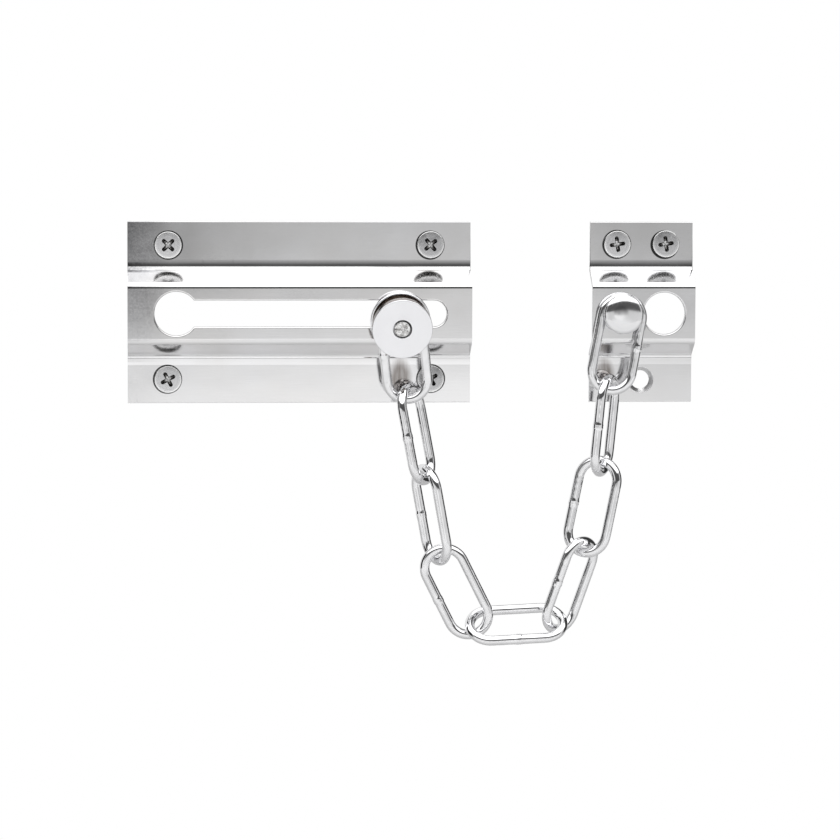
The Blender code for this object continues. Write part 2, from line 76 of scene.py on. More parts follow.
SCREW_X = 36.2 * MM
SCREW_Z = 18.5 * MM
KEEPER_SCREW_DX = 6.7 * MM
KEEPER_SCREW_Z = 18.8 * MM
SINK_R_FRONT = 3.55 * MM
SINK_R_BACK = 2.55 * MM
HEAD_R = 3.75 * MM
HEAD_RIM = 0.33 * MM
HEAD_TOP = 2.3 * MM
HEAD_CROWN = 0.12 * MM
SHANK_R = 1.75 * MM
ROOT_R = 1.25 * MM
THREAD_PITCH = 1.9 * MM
THREADS = 6
SCREW_TIP = 15.499 * MM
RECESS_REACH = 2.15 * MM
RECESS_HALF = 0.5 * MM
RECESS_DEPTH = 1.5 * MM

SLIDER_X = 27.3 * MM
SLIDER_Z = -1.2 * MM
SLIDER_DROOP = math.radians(12.5)
STEM_R = 2.1 * MM
INNER_HEAD_R = 5.4 * MM
INNER_HEAD = (-3.7 * MM, -2.1 * MM)
WASHER = (2.2 * MM, 3.8 * MM)
WASHER_R = 8.23 * MM
WASHER_BORE = 2.3 * MM
NECK_R = 2.5 * MM
NECK = (4.0 * MM, 8.4 * MM)
DISC = (8.6 * MM, 11.495 * MM)
DISC_R = 8.23 * MM
DISC_BORE = 2.2 * MM
TENON_R = 1.9 * MM
PEEN_RECESS_R = 2.55 * MM
PEEN_RECESS = 0.95 * MM
PEEN_R = 2.3 * MM

RIVET_X = 88.6 * MM
RIVET_HOLE_R = 2.7 * MM
RIVET_SHANK_R = 2.4 * MM
RIVET_NECK_R = 3.0 * MM
RIVET_HEAD_R = 5.45 * MM
RIVET_HEAD = (11.7 * MM, 13.9 * MM)
RIVET_TAIL_R = 3.7 * MM
RIVET_TAIL = (4.9 * MM, 6.4 * MM)

WIRE_R = 1.362 * MM
LINK_LENGTH = 28.57 * MM
LINK_WIDTH = 13.87 * MM
LINK_PITCH = 22.75 * MM
END_PITCH = (19.6 * MM, 19.8 * MM)
INNER_LENGTH = 23.0 * MM
LINK_ANGLE = (7.0, 10.7, 10.3, 26.6, 92.5, 160.8, 168.7, 174.5, 169.6)
LINK_TWIST = (0.0, 60.0, 296.0, 352.0, 50.0, 138.0, 207.0, 117.0, 0.0)
LINK_DEPTH = (11.95, 9.75, 9.75, 9.55, 10.3, 9.55, 9.8, 9.8, 9.9)
LINK_LEAN = (11.0, -1.0, 0.5, 2.5, 1.5, -1.5, 0.0, 0.0, 0.0)
LINK_ALONG = (0.36, 0.05, 0.05, 0.0, 0.15, 0.0, 0.0, 0.0, -0.12)
LINK_ACROSS = (0.0, 0.0, -0.1, 0.0, -0.562, -0.05, 0.0, 0.0, 0.0)


# ------------------------------------------------------------------ mesh helpers
def mesh_from(bm, name, smooth_angle=32):
    bmesh.ops.recalc_face_normals(bm, faces=bm.faces[:])
    mesh = bpy.data.meshes.new(name)
    bm.to_mesh(mesh)
    bm.free()
    if smooth_angle is not None:
        mesh.shade_smooth()
        mesh.set_sharp_from_angle(angle=math.radians(smooth_angle))
    return mesh


def piece(name, mesh, mat, body, nodes, matrix=None):
    """One visible object. Its own coordinates are kept in the attribute "local" for the
    materials, and its vertices are then laid out in the frame about the track plate's middle."""
    mesh = mesh.copy()
    mesh.name = name
    local = mesh.attributes.new("local", "FLOAT_VECTOR", "POINT")
    local.data.foreach_set("vector", [c for v in mesh.vertices for c in v.co])
    place = Matrix.Translation((0, 0, -FLANGE_Z)) @ (matrix or Matrix.Identity(4))
    normals = None
    if mesh.has_custom_normals:
        turn = place.to_3x3()
        normals = [turn @ Vector(n.vector) for n in mesh.corner_normals]
    mesh.transform(place)
    if normals:
        mesh.normals_split_custom_set(normals)
    obj = bpy.data.objects.new(name, mesh)
    bpy.context.scene.collection.objects.link(obj)
    mesh.materials.clear()
    mesh.materials.append(mat)
    bpy.context.view_layer.update()
    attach(obj, body)
    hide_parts(*nodes)
    return obj


def turned(name, profile, steps, smooth_angle=32):
    bm = bmesh.new()
    rings = []
    for radius, height in profile:
        if radius <= 1e-9:
            rings.append([bm.verts.new((0, 0, height))])
        else:
            rings.append(
                [
                    bm.verts.new(
                        (
                            radius * math.cos(2 * math.pi * i / steps),
                            radius * math.sin(2 * math.pi * i / steps),
                            height,
                        )
                    )
                    for i in range(steps)
                ]
            )
    for a, b in zip(rings, rings[1:]):
        for i in range(steps):
            j = (i + 1) % steps
            if len(a) == 1 and len(b) > 1:
                bm.faces.new((a[0], b[i], b[j]))
            elif len(b) == 1 and len(a) > 1:
                bm.faces.new((a[i], b[0], a[j]))
            elif len(a) > 1 and len(b) > 1:
                bm.faces.new((a[i], b[i], b[j], a[j]))
    return mesh_from(bm, name, smooth_angle)


def turned_ring(name, profile, steps, smooth_angle=32):
    bm = bmesh.new()
    rings = [
        [
            bm.verts.new(
                (
                    r * math.cos(2 * math.pi * i / steps),
                    r * math.sin(2 * math.pi * i / steps),
                    h,
                )
            )
            for i in range(steps)
        ]
        for r, h in profile
    ]
    for k in range(len(rings)):
        a, b = rings[k], rings[(k + 1) % len(rings)]
        for i in range(steps):
            j = (i + 1) % steps
            bm.faces.new((a[i], b[i], b[j], a[j]))
    return mesh_from(bm, name, smooth_angle)


def corner(radius, height, dr, dh, size, steps=8):
    cx, cy = radius + dr * size, height + dh * size
    return [
        (
            cx - dr * size * math.cos(math.pi / 2 * i / steps),
            cy - dh * size * math.sin(math.pi / 2 * i / steps),
        )
        for i in range(steps + 1)
    ]


def prism(name, rings):
    bm = bmesh.new()
    loops = [[bm.verts.new(p) for p in ring] for ring in rings]
    n = len(loops[0])
    for a, b in zip(loops, loops[1:]):
        for i in range(n):
            j = (i + 1) % n
            bm.faces.new((a[i], a[j], b[j], b[i]))
    bm.faces.new(loops[0][::-1])
    bm.faces.new(loops[-1])
    return mesh_from(bm, name, None)


def cut_all(name, mesh, cutters):
    """mesh minus each (mesh, matrix) cutter, as a plain mesh."""
    base = bpy.data.objects.new(name, mesh)
    bpy.context.scene.collection.objects.link(base)
    tools = []
    for i, (tool_mesh, matrix) in enumerate(cutters):
        tool = bpy.data.objects.new(f"{name}_tool_{i}", tool_mesh)
        bpy.context.scene.collection.objects.link(tool)
        tool.matrix_world = matrix
        mod = base.modifiers.new(f"cut_{i}", "BOOLEAN")
        mod.operation = "DIFFERENCE"
        mod.solver = "MANIFOLD"
        mod.object = tool
        tools.append(tool)
    bpy.context.view_layer.update()
    graph = bpy.context.evaluated_depsgraph_get()
    made = bpy.data.meshes.new_from_object(base.evaluated_get(graph))
    made.name = name
    for obj in tools + [base]:
        bpy.data.objects.remove(obj, do_unlink=True)
    made.shade_smooth()
    made.set_sharp_from_angle(angle=math.radians(32))
    return made


def flat_first(mesh, flats, turn=32):
    """Corner normals that keep the flat faces, whose directions are given, exactly flat right
    up to the rounded edges beside them, and smooth the rest."""
    flats = [Vector(f).normalized() for f in flats]
    near = math.cos(math.radians(0.6))
    group = math.cos(math.radians(turn))
    faces_at = [[] for _ in mesh.vertices]
    for poly in mesh.polygons:
        for v in poly.vertices:
            faces_at[v].append(poly.index)
    face_normal = [p.normal.copy() for p in mesh.polygons]
    area = [p.area for p in mesh.polygons]
    is_flat = []
    for n in face_normal:
        is_flat.append(next((f for f in flats if n.dot(f) > near), None))
    normals = [None] * len(mesh.loops)
    for poly in mesh.polygons:
        mine = face_normal[poly.index]
        for loop in poly.loop_indices:
            if is_flat[poly.index] is not None:
                normals[loop] = is_flat[poly.index]
                continue
            total = Vector((0, 0, 0))
            flat = None
            for other in faces_at[mesh.loops[loop].vertex_index]:
                if face_normal[other].dot(mine) > group:
                    if is_flat[other] is not None and area[other] > 1e-8:
                        flat = is_flat[other]
                    total += face_normal[other] * area[other]
            normals[loop] = flat if flat is not None else total.normalized()
    mesh.normals_split_custom_set(normals)
    return mesh


# ------------------------------------------------------------------ node helpers
def new_material(name):
    mat = bpy.data.materials.new(name)
    mat.use_nodes = True
    tree = mat.node_tree
    tree.nodes.clear()
    out = tree.nodes.new("ShaderNodeOutputMaterial")
    shader = tree.nodes.new("ShaderNodeBsdfPrincipled")
    tree.links.new(shader.outputs[0], out.inputs["Surface"])
    return mat, tree, shader


class Nodes:
    """Short calls for building node trees."""

    def __init__(self, tree):
        self.tree = tree

    def link(self, value, socket):
        if isinstance(value, (int, float)):
            socket.default_value = value
        elif isinstance(value, tuple):
            socket.default_value = value if len(value) == len(socket.default_value) else (*value, 1.0)
        else:
            self.tree.links.new(value, socket)

    def coord(self, which="Object", scale=(1, 1, 1), offset=(0, 0, 0), rotation=(0, 0, 0)):
        tc = self.tree.nodes.new("ShaderNodeTexCoord")
        mp = self.tree.nodes.new("ShaderNodeMapping")
        mp.inputs["Scale"].default_value = scale
        mp.inputs["Location"].default_value = offset
        mp.inputs["Rotation"].default_value = rotation
        self.tree.links.new(tc.outputs[which], mp.inputs["Vector"])
        return mp.outputs[0]

    def local(self, scale=(1, 1, 1), offset=(0, 0, 0)):
        """The piece's own coordinates, such as a turned part's about its axis."""
        at = self.tree.nodes.new("ShaderNodeAttribute")
        at.attribute_name = "local"
        mp = self.tree.nodes.new("ShaderNodeMapping")
        mp.inputs["Scale"].default_value = scale
        mp.inputs["Location"].default_value = offset
        self.tree.links.new(at.outputs["Vector"], mp.inputs["Vector"])
        return mp.outputs[0]

    def noise(self, vector, scale, detail=3.0, rough=0.5, distortion=0.0):
        n = self.tree.nodes.new("ShaderNodeTexNoise")
        self.link(vector, n.inputs["Vector"])
        n.inputs["Scale"].default_value = scale
        n.inputs["Detail"].default_value = detail
        n.inputs["Roughness"].default_value = rough
        n.inputs["Distortion"].default_value = distortion
        return n.outputs["Fac"]

    def voronoi(self, vector, scale, feature="F1"):
        n = self.tree.nodes.new("ShaderNodeTexVoronoi")
        n.feature = feature
        self.link(vector, n.inputs["Vector"])
        n.inputs["Scale"].default_value = scale
        return n.outputs["Distance"]

    def ramp(self, fac, stops, interpolation="LINEAR"):
        n = self.tree.nodes.new("ShaderNodeValToRGB")
        n.color_ramp.interpolation = interpolation
        els = n.color_ramp.elements
        while len(els) < len(stops):
            els.new(0.5)
        for el, (pos, col) in zip(els, stops):
            el.position = pos
            el.color = (*col, 1.0) if isinstance(col, tuple) else (col, col, col, 1.0)
        self.link(fac, n.inputs["Fac"])
        return n.outputs["Color"]

    def remap(self, value, a, b, c, d, smooth=False):
        n = self.tree.nodes.new("ShaderNodeMapRange")
        if smooth:
            n.interpolation_type = "SMOOTHSTEP"
        self.link(value, n.inputs["Value"])
        for key, v in (("From Min", a), ("From Max", b), ("To Min", c), ("To Max", d)):
            n.inputs[key].default_value = v
        return n.outputs["Result"]

    def math(self, op, a, b=0.0, clamp=False):
        n = self.tree.nodes.new("ShaderNodeMath")
        n.operation = op
        n.use_clamp = clamp
        self.link(a, n.inputs[0])
        self.link(b, n.inputs[1])
        return n.outputs[0]

    def mix(self, fac, a, b, blend="MIX"):
        n = self.tree.nodes.new("ShaderNodeMix")
        n.data_type = "RGBA"
        n.blend_type = blend
        self.link(fac, n.inputs["Factor"])
        self.link(a, n.inputs[6])
        self.link(b, n.inputs[7])
        return n.outputs[2]

    def xyz(self, vector):
        n = self.tree.nodes.new("ShaderNodeSeparateXYZ")
        self.link(vector, n.inputs[0])
        return n.outputs[0], n.outputs[1], n.outputs[2]

    def bump(self, height, strength, distance, normal=None):
        n = self.tree.nodes.new("ShaderNodeBump")
        n.inputs["Strength"].default_value = strength
        n.inputs["Distance"].default_value = distance
        self.link(height, n.inputs["Height"])
        if normal is not None:
            self.tree.links.new(normal, n.inputs["Normal"])
        return n.outputs[0]


# ------------------------------------------------------------------ materials
def plate_material():
    """Bright plated strip: rolled lines along its length, faint clouding in the plating,
    a few handling marks and a brighter worn edge."""
    mat, tree, shader = new_material("bright_zinc_plate")
    n = Nodes(tree)
    place = n.coord("Object")
    cloud = n.noise(place, 55.0, 4.0, 0.55)
    warm = n.noise(n.coord("Object", offset=(3, 1, 7)), 32.0, 3.0, 0.5)
    rolled = n.noise(n.coord("Object", scale=(0.05, 1.0, 1.0)), 2600.0, 3.0, 0.6)
    grain = n.noise(place, 5200.0, 2.0, 0.5)
    tone = n.ramp(cloud, [(0.3, (0.79, 0.785, 0.785)), (0.7, (0.86, 0.86, 0.87))])
    tone = n.mix(n.remap(warm, 0.52, 0.75, 0.0, 0.35), tone, (0.80, 0.775, 0.745))
    tone = n.mix(n.remap(rolled, 0.3, 0.7, 0.0, 0.14), tone, (0.70, 0.70, 0.71))
    # 1 on the faces that look away from the wall
    geo = tree.nodes.new("ShaderNodeNewGeometry")
    nx, ny, nz = n.xyz(geo.outputs["True Normal"])
    outward = n.remap(ny, -0.25, -0.10, 1.0, 0.0)
    # painted reflection and shade: where the end links hang, a dark brown patch with fine streaks is painted on
    # the plating for the chain's and the knob's dark reflection
    px, _, pz = n.xyz(place)
    for at_x, at_z, half_x, half_z in (
        (27.9 * MM, -18.0 * MM, 3.6 * MM, 6.6 * MM),
        (84.8 * MM, -17.2 * MM, 3.0 * MM, 5.0 * MM),
    ):
        ux = n.math("DIVIDE", n.math("SUBTRACT", px, at_x), half_x)
        uz = n.math("DIVIDE", n.math("SUBTRACT", pz, at_z - FLANGE_Z), half_z)
        away = n.math(
            "SQRT", n.math("ADD", n.math("MULTIPLY", ux, ux), n.math("MULTIPLY", uz, uz))
        )
        away = n.math("ADD", away, n.remap(cloud, 0.3, 0.7, -0.12, 0.12))
        hair = n.noise(n.coord("Object", rotation=(0, 0.35, 0), scale=(1.0, 1.0, 0.12)), 1800.0)
        painted_reflection = n.math(
            "MULTIPLY",
            n.remap(away, 0.45, 1.1, 1.0, 0.0, smooth=True),
            n.remap(hair, 0.3, 0.7, 0.70, 0.97),
        )
        tone = n.mix(n.math("MULTIPLY", painted_reflection, outward), tone, (0.23, 0.205, 0.19))
    # 1 on the slopes, which the press has drawn a little duller
    middle = n.math("ABSOLUTE", n.math("ADD", pz, FLANGE_Z))
    slope = n.math(
        "MULTIPLY",
        n.remap(middle, BEND_IN_Z - 0.3 * MM, BEND_IN_Z + 0.3 * MM, 0.0, 1.0, smooth=True),
        n.remap(middle, BEND_OUT_Z - 0.6 * MM, BEND_OUT_Z, 1.0, 0.0, smooth=True),
    )
    # the left end of the track has tarnished, in speckles, above the keyhole's middle
    speck = n.noise(place, 1500.0, 3.0, 0.7)
    ends = n.math(
        "MULTIPLY",
        n.remap(px, -46.9 * MM, -35.5 * MM, 1.0, 0.0),
        n.remap(pz, -12.0 * MM - FLANGE_Z, 2.0 * MM - FLANGE_Z, 0.15, 1.0, smooth=True),
    )
    ends = n.math("MULTIPLY", ends, n.remap(speck, 0.30, 0.68, 0.5, 1.0))
    ends = n.math("MULTIPLY", ends, n.math("SUBTRACT", 1.0, slope))
    ends = n.math("MULTIPLY", ends, outward)
    tone = n.mix(n.math("MULTIPLY", ends, 0.95), tone, (0.16, 0.16, 0.17))
    # painted shadow: a dark ring round each screw head, its centre shifted a little to one side
    for at_x, at_z, shadow_off_x, shadow_off_z in (
        (-SCREW_X, SCREW_Z, 0.20, 0.0),
        (SCREW_X, SCREW_Z, -0.20, 0.05),
        (-SCREW_X, -SCREW_Z, -0.10, 0.12),
        (SCREW_X, -SCREW_Z, 0.12, 0.14),
        (KEEPER_X - KEEPER_SCREW_DX, KEEPER_SCREW_Z, -0.18, -0.05),
        (KEEPER_X + KEEPER_SCREW_DX, KEEPER_SCREW_Z, -0.16, -0.12),
    ):
        ux = n.math("SUBTRACT", px, at_x + shadow_off_x * MM)
        uz = n.math("SUBTRACT", pz, at_z + shadow_off_z * MM - FLANGE_Z)
        away = n.math(
            "SQRT", n.math("ADD", n.math("MULTIPLY", ux, ux), n.math("MULTIPLY", uz, uz))
        )
        away = n.math("ADD", away, n.remap(cloud, 0.3, 0.7, -0.06 * MM, 0.06 * MM))
        ring = n.remap(away, HEAD_R + 0.20 * MM, HEAD_R + 0.36 * MM, 1.0, 0.0, smooth=True)
        tone = n.mix(n.math("MULTIPLY", ring, outward), tone, (0.05, 0.05, 0.05))
    marks = n.math("LESS_THAN", n.voronoi(n.coord("Object", scale=(1.0, 1.0, 0.35)), 190.0), 0.045)
    tone = n.mix(n.math("MULTIPLY", marks, 0.25), tone, (0.55, 0.55, 0.56))
    edge = n.remap(geo.outputs["Pointiness"], 0.52, 0.62, 0.0, 0.5)
    tone = n.mix(edge, tone, (0.93, 0.93, 0.94))
    n.link(tone, shader.inputs["Base Color"])
    shader.inputs["Metallic"].default_value = 1.0
    rough = n.math("ADD", n.remap(cloud, 0.3, 0.7, 0.06, 0.10), n.remap(grain, 0.3, 0.7, -0.01, 0.012))
    rough = n.math("ADD", rough, n.math("MULTIPLY", slope, 0.07))
    # and so is the empty countersink
    ux = n.math("SUBTRACT", px, KEEPER_X)
    uz = n.math("ADD", pz, KEEPER_SCREW_Z + FLANGE_Z)
    away = n.math("SQRT", n.math("ADD", n.math("MULTIPLY", ux, ux), n.math("MULTIPLY", uz, uz)))
    cone = n.remap(away, SINK_R_FRONT + 0.1 * MM, SINK_R_FRONT + 0.25 * MM, 0.22, 0.0)
    rough = n.math("ADD", rough, cone)
    # sheared ends are duller still
    sheared = n.math(
        "MAXIMUM",
        n.remap(n.math("ABSOLUTE", nx), 0.75, 0.95, 0.0, 1.0),
        n.remap(n.math("ABSOLUTE", nz), 0.97, 0.995, 0.0, 1.0),
    )
    rough = n.math("ADD", rough, n.math("MULTIPLY", sheared, 0.38))
    n.link(rough, shader.inputs["Roughness"])
    wave = n.noise(n.coord("Object", scale=(0.5, 1.0, 1.0)), 85.0, 1.0, 0.4)
    normal = n.bump(wave, 0.35, 0.00006)
    normal = n.bump(rolled, 0.22, 0.0000025, normal)
    normal = n.bump(grain, 0.20, 0.0000012, normal)
    tree.links.new(normal, shader.inputs["Normal"])
    return mat


def wire_material():
    """Bright plated round wire with fine drawn lines and small rubbed spots."""
    mat, tree, shader = new_material("chrome_wire")
    n = Nodes(tree)
    place = n.local()
    cloud = n.noise(place, 260.0, 3.0, 0.55)
    drawn = n.noise(n.local(scale=(1.0, 1.0, 0.08)), 3800.0, 2.0, 0.6)
    tone = n.ramp(cloud, [(0.3, (0.80, 0.80, 0.81)), (0.7, (0.92, 0.92, 0.93))])
    spots = n.remap(n.noise(place, 900.0, 2.0, 0.6), 0.66, 0.78, 0.0, 0.5)
    tone = n.mix(spots, tone, (0.55, 0.54, 0.53))
    n.link(tone, shader.inputs["Base Color"])
    shader.inputs["Metallic"].default_value = 1.0
    n.link(n.remap(cloud, 0.3, 0.7, 0.03, 0.08), shader.inputs["Roughness"])
    normal = n.bump(n.noise(place, 420.0, 2.0, 0.5), 0.3, 0.00005)
    normal = n.bump(drawn, 0.18, 0.0000025, normal)
    tree.links.new(normal, shader.inputs["Normal"])
    return mat


def disc_material(
    name, ring_scale=2600.0, base=(0.84, 0.84, 0.86), rough=(0.14, 0.2), groove=None
):
    """Turned and plated face: faint rings round the axis."""
    mat, tree, shader = new_material(name)
    n = Nodes(tree)
    place = n.local()
    x, y, z = n.xyz(place)
    radius = n.math("SQRT", n.math("ADD", n.math("MULTIPLY", x, x), n.math("MULTIPLY", y, y)))
    combine = tree.nodes.new("ShaderNodeCombineXYZ")
    n.link(radius, combine.inputs[0])
    rings = n.noise(combine.outputs[0], ring_scale, 2.0, 0.6)
    cloud = n.noise(place, 180.0, 3.0, 0.5)
    tone = n.mix(n.remap(cloud, 0.3, 0.7, 0.0, 1.0), tuple(c * 0.95 for c in base), base)
    tone = n.mix(n.remap(rings, 0.35, 0.65, 0.0, 0.14), tone, (0.66, 0.66, 0.68))
    if groove:
        # painted shade: faces that look into the groove are painted dark brown with streaks, up to the polished
        # rims
        deep = n.remap(z, groove[0] - 0.02 * MM, groove[0] + 0.02 * MM, 0.0, 1.0)
        shallow = n.remap(z, groove[1] - 0.02 * MM, groove[1] + 0.02 * MM, 1.0, 0.0)
        inner = n.remap(radius, groove[2] - 0.12 * MM, groove[2] + 0.1 * MM, 1.0, 0.0)
        dark = n.math("MULTIPLY", n.math("MULTIPLY", deep, shallow), inner)
        groove_shade_tone = n.mix(rings, (0.16, 0.13, 0.11), (0.30, 0.26, 0.23))
        tone = n.mix(dark, tone, groove_shade_tone)
        # the turned side of the front disc is painted dark too, as painted shade with gritty streaks
        side = n.math(
            "MULTIPLY",
            n.remap(z, groove[1], groove[1] + 0.1 * MM, 0.0, 1.0),
            n.remap(z, DISC[1] - 0.30 * MM, DISC[1] - 0.16 * MM, 1.0, 0.0),
        )
        side = n.math("MULTIPLY", side, n.remap(radius, DISC_R - 0.6 * MM, DISC_R - 0.3 * MM, 0.0, 1.0))
        grit = n.noise(n.local(scale=(0.4, 0.4, 3.0)), 900.0, 3.0, 0.6)
        tone = n.mix(side, tone, n.mix(n.remap(grit, 0.3, 0.7, 0.0, 1.0), (0.12, 0.10, 0.09), (0.26, 0.23, 0.21)))
        # painted shade inside the peen recess, darker towards one side
        recess_shade = n.math(
            "MULTIPLY",
            n.remap(radius, PEEN_RECESS_R + 0.02 * MM, PEEN_RECESS_R + 0.12 * MM, 1.0, 0.0),
            n.remap(z, groove[1], groove[1] + 0.2 * MM, 0.0, 1.0),
        )
        toward_shade = n.math("ADD", n.math("MULTIPLY", x, 0.55), n.math("MULTIPLY", y, 0.83))
        recess_shade = n.math("MULTIPLY", recess_shade, n.remap(toward_shade, -0.4 * MM, 1.6 * MM, 0.30, 1.0))
        tone = n.mix(recess_shade, tone, (0.07, 0.07, 0.07))
    n.link(tone, shader.inputs["Base Color"])
    shader.inputs["Metallic"].default_value = 1.0
    n.link(n.remap(cloud, 0.3, 0.7, *rough), shader.inputs["Roughness"])
    normal = n.bump(n.noise(place, 160.0, 1.0, 0.4), 0.3, 0.00003)
    normal = n.bump(rings, 0.25, 0.000003, normal)
    tree.links.new(normal, shader.inputs["Normal"])
    return mat


def screw_material():
    """Dull zinc: faint turning rings, a painted highlight ring inside the rim, painted shade on the
    flanks and in the recess with its floor left light, and a face painted dark at a glancing look."""
    mat, tree, shader = new_material("zinc_screw")
    n = Nodes(tree)
    place = n.local()
    x, y, z = n.xyz(place)
    radius = n.math("SQRT", n.math("ADD", n.math("MULTIPLY", x, x), n.math("MULTIPLY", y, y)))
    combine = tree.nodes.new("ShaderNodeCombineXYZ")
    n.link(radius, combine.inputs[0])
    rings = n.noise(combine.outputs[0], 2100.0, 2.0, 0.6)
    cloud = n.noise(n.coord("Object"), 700.0, 3.0, 0.6)
    tone = n.mix(n.remap(cloud, 0.3, 0.7, 0.0, 1.0), (0.66, 0.66, 0.67), (0.80, 0.80, 0.81))
    tone = n.mix(n.remap(rings, 0.4, 0.6, 0.0, 0.3), tone, (0.42, 0.42, 0.43))
    # painted highlight: a bright ring just inside the rim
    ring = n.remap(radius, HEAD_R - 0.60 * MM, HEAD_R - 0.30 * MM, 0.0, 0.9, smooth=True)
    tone = n.mix(ring, tone, (1.0, 1.0, 1.0))
    # painted shade: the face goes dark at a glancing look, so its reflection in the plate shows as a dark smudge
    weight = tree.nodes.new("ShaderNodeLayerWeight")
    glancing_shade = n.remap(weight.outputs["Facing"], 0.47, 0.60, 0.0, 1.0, smooth=True)
    tone = n.mix(glancing_shade, tone, (0.03, 0.03, 0.03))
    # painted shade on the flanks and in the recess, below the head's top
    below = n.remap(z, HEAD_TOP - 0.22 * MM, HEAD_TOP - 0.10 * MM, 1.0, 0.0, smooth=True)
    tone = n.mix(n.math("MULTIPLY", below, 0.9), tone, (0.09, 0.085, 0.08))
    # the painted shade is lifted again on the recess floor
    floor = n.remap(z, HEAD_TOP - 1.2 * MM, HEAD_TOP - 1.05 * MM, 1.0, 0.0, smooth=True)
    inside = n.remap(radius, 0.7 * MM, 0.9 * MM, 1.0, 0.0, smooth=True)
    tone = n.mix(n.math("MULTIPLY", floor, inside), tone, (0.8, 0.8, 0.8))
    n.link(tone, shader.inputs["Base Color"])
    shader.inputs["Metallic"].default_value = 1.0
    n.link(n.remap(cloud, 0.3, 0.7, 0.2, 0.34), shader.inputs["Roughness"])
    normal = n.bump(rings, 0.35, 0.000004)
    normal = n.bump(cloud, 0.3, 0.00001, normal)
    tree.links.new(normal, shader.inputs["Normal"])
    return mat


def stud_material():
    """Plated steel whose peened end is dented and darker in its hollows."""
    mat, tree, shader = new_material("peened_steel")
    n = Nodes(tree)
    place = n.local()
    fine = n.noise(place, 2600.0, 3.0, 0.6)
    x, y, z = n.xyz(place)
    peened = n.remap(z, NECK[1], NECK[1] + 0.2 * MM, 0.0, 1.0)
    dents = n.math("MULTIPLY", n.voronoi(place, 1100.0), peened)
    radius = n.math("SQRT", n.math("ADD", n.math("MULTIPLY", x, x), n.math("MULTIPLY", y, y)))
    tone = n.ramp(
        dents, [(0.10, (1.0, 1.0, 1.0)), (0.40, (0.92, 0.92, 0.92)), (0.75, (0.60, 0.59, 0.58))]
    )
    # folds that the hammer left, as thin dark lines
    fold = n.math("ABSOLUTE", n.math("SUBTRACT", n.noise(place, 820.0, 2.0, 0.6, 0.6), 0.5))
    fold = n.math("MULTIPLY", n.remap(fold, 0.0, 0.035, 0.9, 0.0), peened)
    tone = n.mix(fold, tone, (0.05, 0.05, 0.05))
    tone = n.mix(n.remap(fine, 0.45, 0.7, 0.0, 0.35), tone, (0.45, 0.44, 0.43))
    # painted shade round the rim of the peened end, darker towards one side
    toward_shade = n.math("ADD", n.math("MULTIPLY", x, 0.55), n.math("MULTIPLY", y, 0.83))
    edge = n.remap(radius, PEEN_R - 0.35 * MM, PEEN_R - 0.12 * MM, 0.0, 1.0, smooth=True)
    edge = n.math("MULTIPLY", edge, n.math("MULTIPLY", peened, 0.85))
    edge = n.math("MULTIPLY", edge, n.remap(toward_shade, -0.4 * MM, 1.6 * MM, 0.25, 1.0))
    tone = n.mix(edge, tone, (0.08, 0.08, 0.08))
    n.link(tone, shader.inputs["Base Color"])
    shader.inputs["Metallic"].default_value = 1.0
    n.link(n.remap(fine, 0.3, 0.7, 0.16, 0.34), shader.inputs["Roughness"])
    normal = n.bump(dents, 0.9, 0.00016)
    normal = n.bump(fine, 0.3, 0.00001, normal)
    tree.links.new(normal, shader.inputs["Normal"])
    return mat


# ------------------------------------------------------------------ plates
def fillet(prev, here, after, radius, steps):
    a = (Vector(prev) - Vector(here)).normalized()
    b = (Vector(after) - Vector(here)).normalized()
    half = math.acos(max(-1, min(1, a.dot(b)))) / 2
    reach = radius / math.tan(half)
    centre = Vector(here) + (a + b).normalized() * radius / math.sin(half)
    start = Vector(here) + a * reach - centre
    end = Vector(here) + b * reach - centre
    sweep = start.angle_signed(end)
    return [centre + Matrix.Rotation(-sweep * i / steps, 2) @ start for i in range(steps + 1)]


def section_line():
    low, high = SHEET / 2, PLATEAU_DEPTH - SHEET / 2
    half = PLATE_HEIGHT / 2
    start = BEND_OUT_Z + SOFT_RUN
    lift = SOFT_RUN * math.tan(math.radians(SOFT_TURN))
    corners = [
        (-half, low),
        (-start, low),
        (-BEND_OUT_Z, low + lift),
        (-BEND_IN_Z, high),
        (BEND_IN_Z, high),
        (BEND_OUT_Z, low + lift),
        (start, low),
        (half, low),
    ]
    radii = [None, SOFT_R, BEND_OUT_R, BEND_IN_R, BEND_IN_R, BEND_OUT_R, SOFT_R, None]
    points = [Vector(corners[0])]
    for i in range(1, 7):
        points += fillet(corners[i - 1], corners[i], corners[i + 1], radii[i], BEND_STEPS)
    points.append(Vector(corners[-1]))
    return points


def section_outline():
    line = section_line()
    front, back = [], []
    for i, p in enumerate(line):
        before = line[max(0, i - 1)]
        after = line[min(len(line) - 1, i + 1)]
        if 0 < i < len(line) - 1:
            d1, d2 = (p - before).normalized(), (after - p).normalized()
            along = (d1 + d2).normalized()
            stretch = 1 / max(0.5, along.dot(d1))
        else:
            along, stretch = (after - before).normalized(), 1.0
        normal = Vector((-along.y, along.x))
        front.append(p + normal * SHEET / 2 * stretch)
        back.append(p - normal * SHEET / 2 * stretch)
    e = EDGE_ROUND
    half = PLATE_HEIGHT / 2
    low_edge, high_edge = [], []
    for i in range(5):
        a = math.pi / 2 * i / 5
        low_edge.append(Vector((-half + e - e * math.cos(a), SHEET - e + e * math.sin(a))))
        high_edge.append(Vector((half - e + e * math.sin(a), SHEET - e + e * math.cos(a))))
    front[0] = front[0] + Vector((e, 0))
    front[-1] = front[-1] - Vector((e, 0))
    return low_edge + front + high_edge[1:] + [Vector((half, SHEET - e))] + back[::-1]


